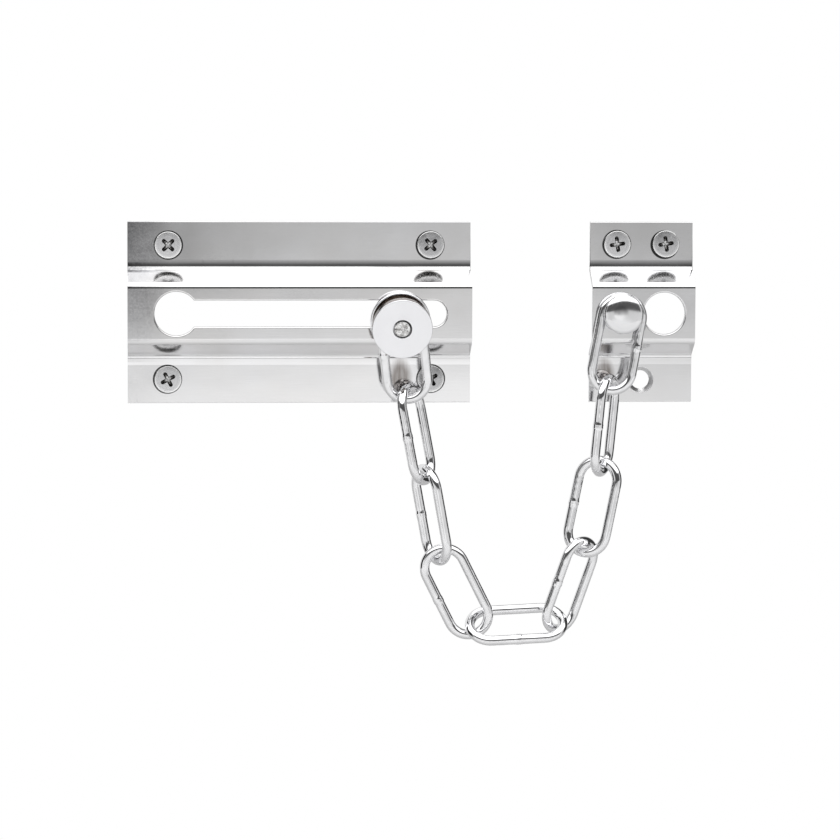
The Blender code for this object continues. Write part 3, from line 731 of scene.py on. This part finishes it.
def plate_flats():
    """Directions of the strip's flat faces."""
    rise = PLATEAU_DEPTH - SHEET - SOFT_RUN * math.tan(math.radians(SOFT_TURN))
    run = BEND_OUT_Z - BEND_IN_Z
    flats = [(0, -1, 0), (0, 1, 0), (1, 0, 0), (-1, 0, 0), (0, 0, 1), (0, 0, -1)]
    for side in (1, -1):
        for face in (1, -1):
            flats.append((0, -face * run, side * face * rise))
    return flats


def plate_blank(name, length, stations):
    """The pressed strip, in lengths that meet on the holes' centre lines."""
    outline = section_outline()
    bm = bmesh.new()
    rings = [
        [bm.verts.new((x, -d, z)) for z, d in outline]
        for x in [-length / 2, *sorted(stations), length / 2]
    ]
    n = len(outline)
    for a, b in zip(rings, rings[1:]):
        for i in range(n):
            j = (i + 1) % n
            bm.faces.new((a[i], a[j], b[j], b[i]))
    bm.faces.new(rings[0][::-1])
    bm.faces.new(rings[-1])
    bmesh.ops.recalc_face_normals(bm, faces=bm.faces[:])
    ends = [
        edge
        for edge in bm.edges
        if abs(edge.verts[0].co.x - edge.verts[1].co.x) < 1e-7
        and len(edge.link_faces) == 2
        and any(abs(f.normal.x) > 0.9 for f in edge.link_faces)
        and min(f.normal.y for f in edge.link_faces) < -0.3
    ]
    bmesh.ops.bevel(
        bm, geom=ends, offset=EDGE_ROUND * 0.9, segments=3, profile=0.5, affect="EDGES",
        clamp_overlap=True,
    )
    return mesh_from(bm, name, None)


def keyhole_outline(grow):
    r, h = KEYHOLE_R + grow, SLOT_HALF + grow
    end_x = SLOT_END_X - SLOT_HALF
    meet = math.asin(h / r)
    points = []
    arc = 84
    for i in range(arc + 1):
        a = meet + (2 * math.pi - 2 * meet) * i / arc
        points.append((KEYHOLE_X + r * math.cos(a), r * math.sin(a)))
    cap = 40
    for i in range(cap + 1):
        a = -math.pi / 2 + math.pi * i / cap
        points.append((end_x + h * math.cos(a), h * math.sin(a)))
    return points


def circle_outline(x, z, r, steps=112):
    return [
        (x + r * math.cos(2 * math.pi * i / steps), z + r * math.sin(2 * math.pi * i / steps))
        for i in range(steps)
    ]


def punched(name, outline, lip=DIE_ROLL):
    """A punch with a rounded flare at the front and a small burr break at the back."""
    rings = []
    face, back = PLATEAU_DEPTH, PLATEAU_DEPTH - SHEET
    rings.append([(x, -(back - SHEET), z) for x, z in outline(0.12 * MM)])
    rings.append([(x, -back, z) for x, z in outline(0.10 * MM)])
    rings.append([(x, -(back + 0.12 * MM), z) for x, z in outline(0.0)])
    steps = 9
    for i in range(steps + 1):
        a = math.pi / 2 * i / steps
        grow = lip * (1 - math.cos(a)) * 0.999
        rings.append([(x, -(face - lip + lip * math.sin(a)), z) for x, z in outline(grow)])
    rings.append([(x, -(face + SHEET), z) for x, z in outline(lip)])
    return prism(name, rings)


def countersink(name):
    over = 0.6 * MM
    lip = 0.14 * MM
    return turned(
        name,
        [
            (0, -over),
            (SINK_R_BACK, -over),
            (SINK_R_BACK, 0.12 * MM),
            (SINK_R_FRONT - 0.10 * MM, SHEET - 0.14 * MM),
            (SINK_R_FRONT - 0.02 * MM, SHEET - 0.06 * MM),
            (SINK_R_FRONT + 0.06 * MM, SHEET - 0.015 * MM),
            (SINK_R_FRONT + lip, SHEET + 0.0005 * MM),
            (SINK_R_FRONT + lip, SHEET + over),
            (0, SHEET + over),
        ],
        96,
        None,
    )


OUT = Matrix.Rotation(math.pi / 2, 4, "X")


def build_plates(mat):
    sink = countersink("sink_tool")
    tools = [(punched("keyhole_tool", keyhole_outline), Matrix.Identity(4))]
    for sx, sz in ((-1, 1), (1, 1), (-1, -1), (1, -1)):
        tools.append((sink, Matrix.Translation((sx * SCREW_X, 0, sz * SCREW_Z)) @ OUT))
    stops = [-36.63, -33.27, -17.9, 0.13, 18.1, 35.83, 37.11]
    stops = [x * MM for x in stops]
    mesh = cut_all("track_plate_sheet", plate_blank("track_blank", TRACK_LENGTH, stops), tools)
    flat_first(mesh, plate_flats())
    piece("track_plate_sheet", mesh, mat, "plates", ["track_plate"])

    blank = plate_blank(
        "keeper_blank",
        KEEPER_LENGTH,
        [x * MM for x in (-7.03, -5.87, 0.31, 5.41, 6.37)],
    )
    blank.transform(Matrix.Translation((KEEPER_X, 0, 0)))
    hole = turned(
        "rivet_hole_tool",
        [(0, 4 * MM), (RIVET_HOLE_R, 4 * MM), (RIVET_HOLE_R, 10 * MM), (0, 10 * MM)],
        64,
        None,
    )
    tools = [
        (punched("park_tool", lambda g: circle_outline(PARK_X, 0, PARK_R + g)), Matrix.Identity(4)),
        (hole, Matrix.Translation((RIVET_X, 0, 0)) @ OUT),
    ]
    for dx, z in ((-1, 1), (1, 1), (0, -1)):
        tools.append(
            (
                sink,
                Matrix.Translation((KEEPER_X + dx * KEEPER_SCREW_DX, 0, z * KEEPER_SCREW_Z)) @ OUT,
            )
        )
    mesh = cut_all("keeper_plate_sheet", blank, tools)
    flat_first(mesh, plate_flats())
    piece("keeper_plate_sheet", mesh, mat, "plates", ["keeper_plate"])


# ------------------------------------------------------------------ screws
def recess_tool(name):
    """Cross recess with tapered wings, rounded wing tips and a conical floor."""
    bm = bmesh.new()

    def cross(reach, half, z):
        pts = []
        for k in range(4):
            rot = Matrix.Rotation(k * math.pi / 2, 2)
            tip = [
                (reach - half + half * math.cos(a), half * math.sin(a))
                for a in [math.pi * (-0.5 + i / 8) for i in range(9)]
            ]
            for p in tip + [(half * 1.12, half * 1.0), (half * 1.0, half * 1.12)]:
                v = rot @ Vector(p)
                pts.append(bm.verts.new((v.x, v.y, z)))
        return pts

    levels = [
        cross(RECESS_REACH + 0.16 * MM, RECESS_HALF + 0.08 * MM, 0.5 * MM),
        cross(RECESS_REACH + 0.10 * MM, RECESS_HALF + 0.05 * MM, 0.0 * MM),
        cross(RECESS_REACH, RECESS_HALF, -0.10 * MM),
        cross(RECESS_REACH * 0.82, RECESS_HALF * 0.88, -RECESS_DEPTH * 0.42),
        cross(RECESS_REACH * 0.62, RECESS_HALF * 0.72, -RECESS_DEPTH * 0.8),
        cross(RECESS_REACH * 0.40, RECESS_HALF * 0.45, -RECESS_DEPTH * 0.92),
    ]
    n = len(levels[0])
    for a, b in zip(levels, levels[1:]):
        for i in range(n):
            j = (i + 1) % n
            bm.faces.new((a[i], a[j], b[j], b[i]))
    bm.faces.new(levels[0][::-1])
    tip = bm.verts.new((0, 0, -RECESS_DEPTH))
    for i in range(n):
        bm.faces.new((levels[-1][i], levels[-1][(i + 1) % n], tip))
    return mesh_from(bm, name, None)


def screw_mesh():
    """Head, plain shank and a helical thread that runs out to the point."""
    steps = 56
    rim = HEAD_TOP - HEAD_CROWN
    low = rim - HEAD_RIM
    under = low - (HEAD_R - SHANK_R)
    bm = bmesh.new()
    rings = [[bm.verts.new((0, 0, HEAD_TOP))]]

    def ring(radius_of, z):
        rings.append(
            [
                bm.verts.new(
                    (
                        radius_of(2 * math.pi * i / steps) * math.cos(2 * math.pi * i / steps),
                        radius_of(2 * math.pi * i / steps) * math.sin(2 * math.pi * i / steps),
                        z,
                    )
                )
                for i in range(steps)
            ]
        )

    for f in (0.25, 0.5, 0.75, 0.9):
        z = HEAD_TOP - HEAD_CROWN * 0.55 * f**2.4
        ring(lambda a, f=f: (HEAD_R - 0.2 * MM) * f, z)
    for i in range(7):
        a = math.pi / 2 * i / 6
        ring(
            lambda _, a=a: HEAD_R - 0.2 * MM + 0.2 * MM * math.sin(a),
            rim - 0.2 * MM * (1 - math.cos(a)) + 0.04 * MM * (1 - i / 6),
        )
    ring(lambda _: HEAD_R, low + 0.02 * MM)
    ring(lambda _: HEAD_R - 0.05 * MM, low - 0.04 * MM)
    for f in (0.25, 0.5, 0.75):
        ring(lambda _, f=f: HEAD_R + (SHANK_R - HEAD_R) * f, low + (under - low) * f)
    ring(lambda _: SHANK_R + 0.05 * MM, under + 0.03 * MM)
    ring(lambda _: SHANK_R, under - 0.1 * MM)
    start = under - 1.5 * MM
    ring(lambda _: SHANK_R, start)
    end = -SCREW_TIP
    z, step = start - 0.12 * MM, 0.115 * MM
    run_in = start - 1.0 * MM
    taper_from = end + 3.4 * MM
    while z > end + 0.18 * MM:
        grow = min(1.0, max(0.0, (start - z) / (start - run_in)))
        thin = 1.0 if z > taper_from else max(0.05, ((z - end) / (taper_from - end)) ** 0.8)
        core = (SHANK_R + (ROOT_R - SHANK_R) * grow) * thin

        def radius_of(a, z=z, core=core, thin=thin, grow=grow):
            phase = (z / THREAD_PITCH - a / (2 * math.pi)) % 1.0
            crest = max(0.0, 1 - abs(phase - 0.5) / 0.30)
            return core + (SHANK_R - ROOT_R) * grow * min(1.0, crest * 1.15) * thin**0.7

        ring(radius_of, z)
        z -= step
    rings.append([bm.verts.new((0, 0, end))])
    for a, b in zip(rings, rings[1:]):
        for i in range(steps):
            j = (i + 1) % steps
            if len(a) == 1:
                bm.faces.new((a[0], b[i], b[j]))
            elif len(b) == 1:
                bm.faces.new((a[i], b[0], a[j]))
            else:
                bm.faces.new((a[i], b[i], b[j], a[j]))
    mesh = mesh_from(bm, "screw_blank", None)
    return cut_all(
        "cross_screw", mesh, [(recess_tool("recess_tool"), Matrix.Translation((0, 0, HEAD_TOP)))]
    )


def build_screws(mat):
    mesh = flat_first(screw_mesh(), [(0, 0, 1)])
    seats = (
        ("track_screw_1", -SCREW_X, SCREW_Z, 45, (0.10, 0.05), (1.5, 1.0)),
        ("track_screw_2", SCREW_X, SCREW_Z, 40, (-0.08, 0.10), (-1.0, 1.2)),
        ("track_screw_3", -SCREW_X, -SCREW_Z, 28, (0.06, 0.10), (1.2, -1.0)),
        ("track_screw_4", SCREW_X, -SCREW_Z, 32, (0.10, 0.06), (-1.2, -0.8)),
        ("keeper_screw_1", KEEPER_X - KEEPER_SCREW_DX, KEEPER_SCREW_Z, 8, (-0.10, 0.05), (1.0, 1.0)),
        ("keeper_screw_2", KEEPER_X + KEEPER_SCREW_DX, KEEPER_SCREW_Z, 8, (0.06, 0.08), (-1.0, 0.8)),
    )
    for name, x, z, turn, shift, tilt in seats:
        matrix = (
            Matrix.Translation((x + shift[0] * MM, 0, z + shift[1] * MM))
            @ Matrix.Rotation(math.radians(tilt[0]), 4, "X")
            @ Matrix.Rotation(math.radians(tilt[1]), 4, "Z")
            @ OUT
            @ Matrix.Rotation(math.radians(turn), 4, "Z")
        )
        piece(f"{name}_cross", mesh, mat, "plates", [name], matrix)


# ------------------------------------------------------------------ rivet and slider
def build_rivet(mat):
    a, b = RIVET_HEAD
    t0, t1 = RIVET_TAIL
    r = RIVET_HEAD_R
    profile = [(0, t0)]
    profile += [(RIVET_TAIL_R * f, t0 + 0.5 * MM * f**2.6) for f in (0.2, 0.4, 0.6, 0.75, 0.88, 0.97)]
    profile += corner(RIVET_TAIL_R, t1, -1, -1, 0.2 * MM, 4)
    profile += [
        (RIVET_SHANK_R + 0.02 * MM, t1),
        (RIVET_SHANK_R, t1 + 0.02 * MM),
        (RIVET_SHANK_R, PLATEAU_DEPTH + 0.12 * MM),
        (RIVET_NECK_R, PLATEAU_DEPTH + 0.12 * MM),
        (RIVET_NECK_R, a - 0.3 * MM),
        (RIVET_NECK_R + 0.1 * MM, a - 0.08 * MM),
        (RIVET_NECK_R + 0.35 * MM, a),
    ]
    profile += corner(r, a, -1, 1, 0.35 * MM, 6)[::-1]
    # bevelled shoulder, then a low crown
    profile += [
        (r - 0.02 * MM, a + 0.75 * MM),
        (r - 0.12 * MM, a + 0.95 * MM),
        (r - 0.32 * MM, a + 1.16 * MM),
        (r - 0.60 * MM, a + 1.36 * MM),
        (r - 0.95 * MM, a + 1.54 * MM),
        (r - 1.35 * MM, a + 1.70 * MM),
        (r - 1.80 * MM, a + 1.84 * MM),
        (r - 2.40 * MM, a + 1.97 * MM),
        (r - 3.10 * MM, a + 2.08 * MM),
        (r - 3.90 * MM, a + 2.15 * MM),
        (r - 4.70 * MM, a + 2.19 * MM),
        (0, b),
    ]
    mesh = turned("chain_rivet_head", profile, 128)
    matrix = Matrix.Translation((RIVET_X, 0, 0)) @ OUT
    piece("chain_rivet_head", mesh, mat, "plates", ["chain_rivet"], matrix)


def slider_matrix():
    return Matrix.Translation(
        (SLIDER_X, -(PLATEAU_DEPTH - SHEET / 2), SLIDER_Z)
    ) @ Matrix.Rotation(math.pi / 2 + SLIDER_DROOP, 4, "X")


def build_slider(disc_mat, stud_mat):
    at = slider_matrix()
    w0, w1 = WASHER
    # corner() runs from the wall to the end face, so the bore's two corners are turned round
    bore_top = corner(WASHER_BORE, w1, 1, -1, 0.12 * MM, 4)
    bore_low = corner(WASHER_BORE, w0, 1, 1, 0.12 * MM, 4)
    ring = (
        bore_top[::-1]
        + bore_low
        + corner(WASHER_R, w0, -1, 1, 0.45 * MM, 8)[::-1]
        + corner(WASHER_R, w1, -1, -1, 0.45 * MM, 8)
    )
    piece(
        "rear_washer_disc", turned_ring("rear_washer_disc", ring, 144), disc_mat, "slider",
        ["rear_washer"], at,
    )

    d0, d1 = DISC
    face = d1
    lip = corner(PEEN_RECESS_R, face, 1, -1, 0.16 * MM, 5)
    floor = d1 - PEEN_RECESS
    outer_low = corner(DISC_R, d0, -1, 1, 0.5 * MM, 8)[::-1]
    outer_top = corner(DISC_R, d1, -1, -1, 0.26 * MM, 10)
    ring = (
        lip[::-1]
        + [(PEEN_RECESS_R, floor + 0.1 * MM), (PEEN_RECESS_R - 0.1 * MM, floor)]
        + [(DISC_BORE, floor), (DISC_BORE, d0)]
        + outer_low
        + outer_top
    )
    piece(
        "front_disc_button", turned_ring("front_disc_button", ring, 160), disc_mat, "knob",
        ["front_disc"], at,
    )

    h0, h1 = INNER_HEAD
    peen0 = floor + 0.15 * MM
    profile = (
        [(0, h0), (INNER_HEAD_R * 0.5, h0)]
        + corner(INNER_HEAD_R, h0, -1, 1, 0.4 * MM, 6)[::-1]
        + corner(INNER_HEAD_R, h1, -1, -1, 0.3 * MM, 6)
        + [
            (STEM_R + 0.25 * MM, h1),
            (STEM_R + 0.07 * MM, h1 + 0.07 * MM),
            (STEM_R, h1 + 0.25 * MM),
            (STEM_R, NECK[0]),
            (NECK_R, NECK[0]),
            (NECK_R, NECK[1]),
            (TENON_R, NECK[1]),
            (TENON_R, peen0),
            (PEEN_R, peen0),
            (PEEN_R, d1 - 0.46 * MM),
        ]
    )
    for i in range(1, 7):
        a = math.pi / 2 * i / 6
        profile.append(
            (PEEN_R - 0.32 * MM * (1 - math.cos(a)), d1 - 0.46 * MM + 0.30 * MM * math.sin(a))
        )
    top = d1 - 0.16 * MM
    for f in (0.9, 0.78, 0.66, 0.54, 0.42, 0.3, 0.18, 0.08):
        profile.append(((PEEN_R - 0.32 * MM) * f, top + 0.03 * MM * (1 - f)))
    profile.append((0, top + 0.03 * MM))
    mesh = turned("slider_stud_peened", profile, 96)
    # hammer marks on the peened end
    for v in mesh.vertices:
        r = math.hypot(v.co.x, v.co.y)
        if v.co.z > d1 - 0.5 * MM and r < PEEN_R + 0.01 * MM:
            p = Vector((v.co.x, v.co.y, 0)) / (0.62 * MM)
            d = noise.noise(p + Vector((3.1, 1.7, 0.4))) * 0.10 * MM
            d += noise.noise(p * 2.3 + Vector((7.0, 2.0, 1.0))) * 0.05 * MM
            v.co.z += min(0.08 * MM, d - 0.03 * MM)
            if r > PEEN_R - 0.2 * MM:
                k = 1 + 0.03 * noise.noise(p * 1.3)
                v.co.x *= min(1.0, k)
                v.co.y *= min(1.0, k)
    mesh.shade_smooth()
    mesh.set_sharp_from_angle(angle=math.radians(38))
    piece("slider_stud_peened", mesh, stud_mat, "knob", ["slider_stud"], at)


# ------------------------------------------------------------------ chain
def link_mesh(seed):
    """A bent and resistance-welded link. Local Z is its length, local X its width. The bend
    flattens the wire a little, and the weld is an upset collar on the leg at +X."""
    bend = LINK_WIDTH / 2 - WIRE_R
    straight = (LINK_LENGTH - LINK_WIDTH) / 2
    path = []
    arc = 34
    for i in range(arc + 1):
        a = math.pi * i / arc
        path.append((bend * math.cos(a), straight + bend * math.sin(a), a))
    legs = 14
    for i in range(1, legs):
        path.append((-bend, straight * (1 - 2 * i / legs), math.pi))
    for i in range(arc + 1):
        a = math.pi + math.pi * i / arc
        path.append((bend * math.cos(a), -straight + bend * math.sin(a), a))
    leg = 44
    for i in range(1, leg):
        path.append((bend, -straight + 2 * straight * i / leg, 2 * math.pi))
    sides = 36
    bm = bmesh.new()
    rings = []
    shift = Vector((seed * 3.7, seed * 1.3, seed * 2.1))
    for x, z, a in path:
        out = Vector((math.cos(a), 0, math.sin(a)))
        side = Vector((0, 1, 0))
        in_bend = 1.0 if abs(z) > straight else 0.0
        weld = 0.0
        if x > 0 and abs(z) < 1.6 * MM:
            weld = math.exp(-((z / (0.72 * MM)) ** 2))
        ring = []
        for k in range(sides):
            b = 2 * math.pi * k / sides
            direction = out * math.cos(b) + side * math.sin(b)
            at = Vector((x, 0, z))
            p = (at + direction * WIRE_R) / MM
            r = WIRE_R * (1 - 0.012 * in_bend * abs(math.sin(b)))
            r -= abs(0.018 * MM * noise.noise(p * 0.55 + shift))
            if weld > 0.01:
                rag = 1 + 0.45 * noise.noise(p * 1.4 + shift) + 0.25 * noise.noise(p * 3.1 + shift)
                ridge = math.exp(-(((z - 0.42 * MM) / (0.26 * MM)) ** 2))
                ridge += math.exp(-(((z + 0.42 * MM) / (0.26 * MM)) ** 2))
                r += (0.045 * weld + 0.11 * ridge) * MM * rag
            ring.append(bm.verts.new(at + direction * r))
        rings.append(ring)
    for n, a in enumerate(rings):
        b = rings[(n + 1) % len(rings)]
        for i in range(sides):
            j = (i + 1) % sides
            bm.faces.new((a[i], b[i], b[j], a[j]))
    return mesh_from(bm, f"link_{seed}", 60)


def link_nodes():
    lengths = [END_PITCH[0]] + [LINK_PITCH] * 7 + [END_PITCH[1]]
    points = [Vector((RIVET_X, 0.0))]
    for length, angle in zip(reversed(lengths), reversed(LINK_ANGLE)):
        a = math.radians(angle)
        points.append(points[-1] - length * Vector((math.sin(a), -math.cos(a))))
    return points[::-1]


def build_chain(mat):
    nodes = link_nodes()
    for i in range(9):
        depth = LINK_DEPTH[i] * MM
        a = math.radians(LINK_ANGLE[i])
        along = Vector((math.sin(a), 0, -math.cos(a)))
        across = Vector((-math.cos(a), 0, -math.sin(a)))
        near = Vector((0, -1, 0))
        if i == 0:
            middle = Vector((nodes[1].x, 0, nodes[1].y)) - along * INNER_LENGTH / 2
        elif i == 8:
            middle = Vector((nodes[8].x, 0, nodes[8].y)) + along * INNER_LENGTH / 2
        else:
            centre = (nodes[i] + nodes[i + 1]) / 2
            middle = Vector((centre.x, 0, centre.y))
        middle += along * LINK_ALONG[i] * MM + across * LINK_ACROSS[i] * MM
        middle.y = -depth
        lean = math.radians(LINK_LEAN[i])
        leaned = math.cos(lean) * along - math.sin(lean) * near
        near = math.cos(lean) * near + math.sin(lean) * along
        t = math.radians(LINK_TWIST[i])
        width = math.cos(t) * across + math.sin(t) * near
        length = -leaned
        thick = length.cross(width)
        basis = Matrix((width, thick, length)).transposed().to_4x4()
        piece(
            f"chain_link_{i + 1}_wire",
            link_mesh(i + 1),
            mat,
            f"link_{i + 1}",
            [f"chain_link_{i + 1}"],
            Matrix.Translation(middle) @ basis,
        )


# ------------------------------------------------------------------ studio
def build_world():
    """Soft studio surround. The camera sees plain white; the metal sees a bright top light, a
    mid-tone room in front and darker walls behind the object."""
    world = bpy.data.worlds.new("studio")
    bpy.context.scene.world = world
    world.use_nodes = True
    tree = world.node_tree
    tree.nodes.clear()
    n = Nodes(tree)
    out = tree.nodes.new("ShaderNodeOutputWorld")
    tc = tree.nodes.new("ShaderNodeTexCoord")
    x, y, z = n.xyz(tc.outputs["Generated"])
    front = n.math("MULTIPLY", y, -1.0)  # 1 straight in front of the object
    # round the object, from straight behind (0) to straight in front (1): a wide dark cloth to
    # the left, and a narrower one further back to the right
    round_it = n.remap(front, -1.0, 1.0, 0.0, 1.0)
    left = n.ramp(
        round_it,
        [
            (0.015, 0.62),
            (0.040, 0.90),
            (0.270, 0.85),
            (0.320, 0.02),
            (0.650, 0.03),
            (0.690, 0.80),
            (0.760, 0.95),
            (0.890, 0.74),
            (0.975, 0.72),
            (1.000, 0.80),
        ],
    )
    right = n.ramp(
        round_it,
        [
            (0.015, 0.62),
            (0.040, 0.85),
            (0.100, 0.55),
            (0.150, 0.03),
            (0.500, 0.05),
            (0.560, 0.55),
            (0.600, 0.70),
            (0.640, 0.78),
            (0.900, 0.74),
            (0.975, 0.72),
            (1.000, 0.80),
        ],
    )
    walls = n.mix(n.remap(x, -0.05, 0.05, 0.0, 1.0), left, right)
    # straight in front it is dark above eye level and bright below it
    level = n.ramp(
        n.remap(z, -0.16, 0.16, 0.0, 1.0),
        [
            (0.000, 1.04),
            (0.200, 1.09),
            (0.260, 1.02),
            (0.280, 0.90),
            (0.295, 0.79),
            (0.320, 0.70),
            (0.340, 0.60),
            (0.395, 0.585),
            (0.460, 0.50),
            (0.560, 0.34),
            (0.720, 0.19),
            (1.000, 0.15),
        ],
    )
    level = n.mix(n.remap(x, 0.03, 0.10, 0.0, 1.0), level, n.math("MULTIPLY", level, 1.05))
    # and darker again further to the right, where the keeper looks
    level = n.mix(n.remap(x, 0.100, 0.122, 0.0, 1.0), level, n.mix(1.0, level, (0.80, 0.80, 0.80), "MULTIPLY"))
    ahead = n.remap(front, 0.965, 0.985, 0.0, 1.0, smooth=True)
    # the dark camera
    dx = n.math("SUBTRACT", x, -0.012)
    dz = n.math("SUBTRACT", z, -0.034)
    far = n.math("SQRT", n.math("ADD", n.math("MULTIPLY", dx, dx), n.math("MULTIPLY", dz, dz)))
    lens = n.ramp(
        n.remap(far, 0.0, 0.1, 0.0, 1.0),
        [(0.0, 0.2), (0.1, 0.32), (0.2, 0.54), (0.3, 0.78), (0.45, 0.95), (0.6, 1.0)],
    )
    level = n.mix(1.0, level, lens, "MULTIPLY")
    room = n.mix(ahead, walls, level)
    # a dark belt above eye level, and the bright room below it
    belt = n.math(
        "MULTIPLY",
        n.remap(z, 0.03, 0.09, 0.0, 1.0, smooth=True),
        n.remap(front, 0.3, 0.55, 0.0, 1.0, smooth=True),
    )
    room = n.mix(n.math("MULTIPLY", belt, 0.95), room, (0.06, 0.06, 0.06))
    # top light, which reaches further back in its middle than at its sides
    aside = n.math("ABSOLUTE", x)
    reach = n.math("SUBTRACT", front, n.remap(aside, 0.15, 0.40, 0.0, 0.5))
    top = n.math(
        "MULTIPLY",
        n.remap(z, 0.42, 0.52, 0.0, 1.0, smooth=True),
        n.remap(reach, -0.62, -0.48, 0.0, 1.0, smooth=True),
    )
    room = n.mix(top, room, (1.75, 1.75, 1.75))
    # bright below
    low = n.math(
        "MULTIPLY",
        n.remap(z, -0.30, -0.12, 1.0, 0.0, smooth=True),
        n.remap(front, 0.0, 0.3, 0.0, 1.0, smooth=True),
    )
    low = n.math("MULTIPLY", low, n.remap(aside, 0.20, 0.45, 1.0, 0.0, smooth=True))
    room = n.mix(low, room, (0.98, 0.98, 0.98))
    seen = tree.nodes.new("ShaderNodeBackground")
    seen.inputs["Color"].default_value = (1, 1, 1, 1)
    seen.inputs["Strength"].default_value = 1.0
    felt = tree.nodes.new("ShaderNodeBackground")
    n.link(room, felt.inputs["Color"])
    felt.inputs["Strength"].default_value = 1.0
    path = tree.nodes.new("ShaderNodeLightPath")
    both = tree.nodes.new("ShaderNodeMixShader")
    tree.links.new(path.outputs["Is Camera Ray"], both.inputs["Fac"])
    tree.links.new(felt.outputs[0], both.inputs[1])
    tree.links.new(seen.outputs[0], both.inputs[2])
    tree.links.new(both.outputs[0], out.inputs["Surface"])


def build_floor():
    """A plain pale floor well below the object."""
    bm = bmesh.new()
    bmesh.ops.create_circle(bm, cap_ends=True, segments=64, radius=0.9)
    bmesh.ops.translate(bm, verts=bm.verts[:], vec=(0.03, 0.0, -0.30))
    floor = bpy.data.objects.new("studio_floor", mesh_from(bm, "studio_floor", None))
    bpy.context.scene.collection.objects.link(floor)
    mat = bpy.data.materials.new("studio_floor")
    mat.use_nodes = True
    tree = mat.node_tree
    tree.nodes.clear()
    n = Nodes(tree)
    out = tree.nodes.new("ShaderNodeOutputMaterial")
    matte = tree.nodes.new("ShaderNodeBsdfDiffuse")
    # paler towards the front of the table
    _, y, _ = n.xyz(n.coord("Object"))
    n.link(n.ramp(n.remap(y, -0.5, 0.1, 0.0, 1.0), [(0.0, 0.90), (0.45, 0.87), (0.8, 0.62), (1.0, 0.53)]), matte.inputs["Color"])
    white = tree.nodes.new("ShaderNodeEmission")
    white.inputs["Color"].default_value = (1, 1, 1, 1)
    path = tree.nodes.new("ShaderNodeLightPath")
    both = tree.nodes.new("ShaderNodeMixShader")
    tree.links.new(path.outputs["Is Camera Ray"], both.inputs["Fac"])
    tree.links.new(matte.outputs[0], both.inputs[1])
    tree.links.new(white.outputs[0], both.inputs[2])
    tree.links.new(both.outputs[0], out.inputs["Surface"])
    floor.data.materials.append(mat)


def build_camera():
    a, e, roll = math.radians(4.318), math.radians(5.0), math.radians(0.212)
    back = Vector((-math.sin(a) * math.cos(e), -math.cos(a) * math.cos(e), math.sin(e)))
    right = (-back).cross(Vector((0, 0, 1))).normalized()
    up = right.cross(-back)
    r2 = math.cos(roll) * right + math.sin(roll) * up
    u2 = -math.sin(roll) * right + math.cos(roll) * up
    target = Vector((33.161, -5.0, -29.571)) * MM - Vector((0, 0, FLANGE_Z))
    cam = bpy.data.objects.new("camera", bpy.data.cameras.new("camera"))
    bpy.context.scene.collection.objects.link(cam)
    rot = Matrix((r2, u2, back)).transposed().to_4x4()
    cam.matrix_world = Matrix.Translation(target + back * 1.020) @ rot
    cam.data.sensor_width = 36.0
    cam.data.lens = 158.41
    cam.data.clip_start = 0.01
    cam.data.clip_end = 20.0
    bpy.context.scene.camera = cam


build_world()
build_floor()
build_camera()
view = bpy.context.scene.view_settings
view.view_transform = "Standard"
view.look = "None"
view.exposure = 0.0
view.gamma = 1.0

zinc = plate_material()
wire = wire_material()
disc = disc_material(
    "nickel_disc", 2600.0, (0.93, 0.93, 0.95), (0.14, 0.2),
    (WASHER[1] - 0.03 * MM, DISC[0] + 0.03 * MM, WASHER_R - 0.5 * MM),
)
screw_face = screw_material()
rivet_face = disc_material("polished_rivet", 1500.0, (0.86, 0.86, 0.87), (0.10, 0.16))
stud_face = stud_material()

build_plates(zinc)
build_screws(screw_face)
build_rivet(rivet_face)
build_slider(disc, stud_face)
build_chain(wire)

bpy.context.view_layer.update()
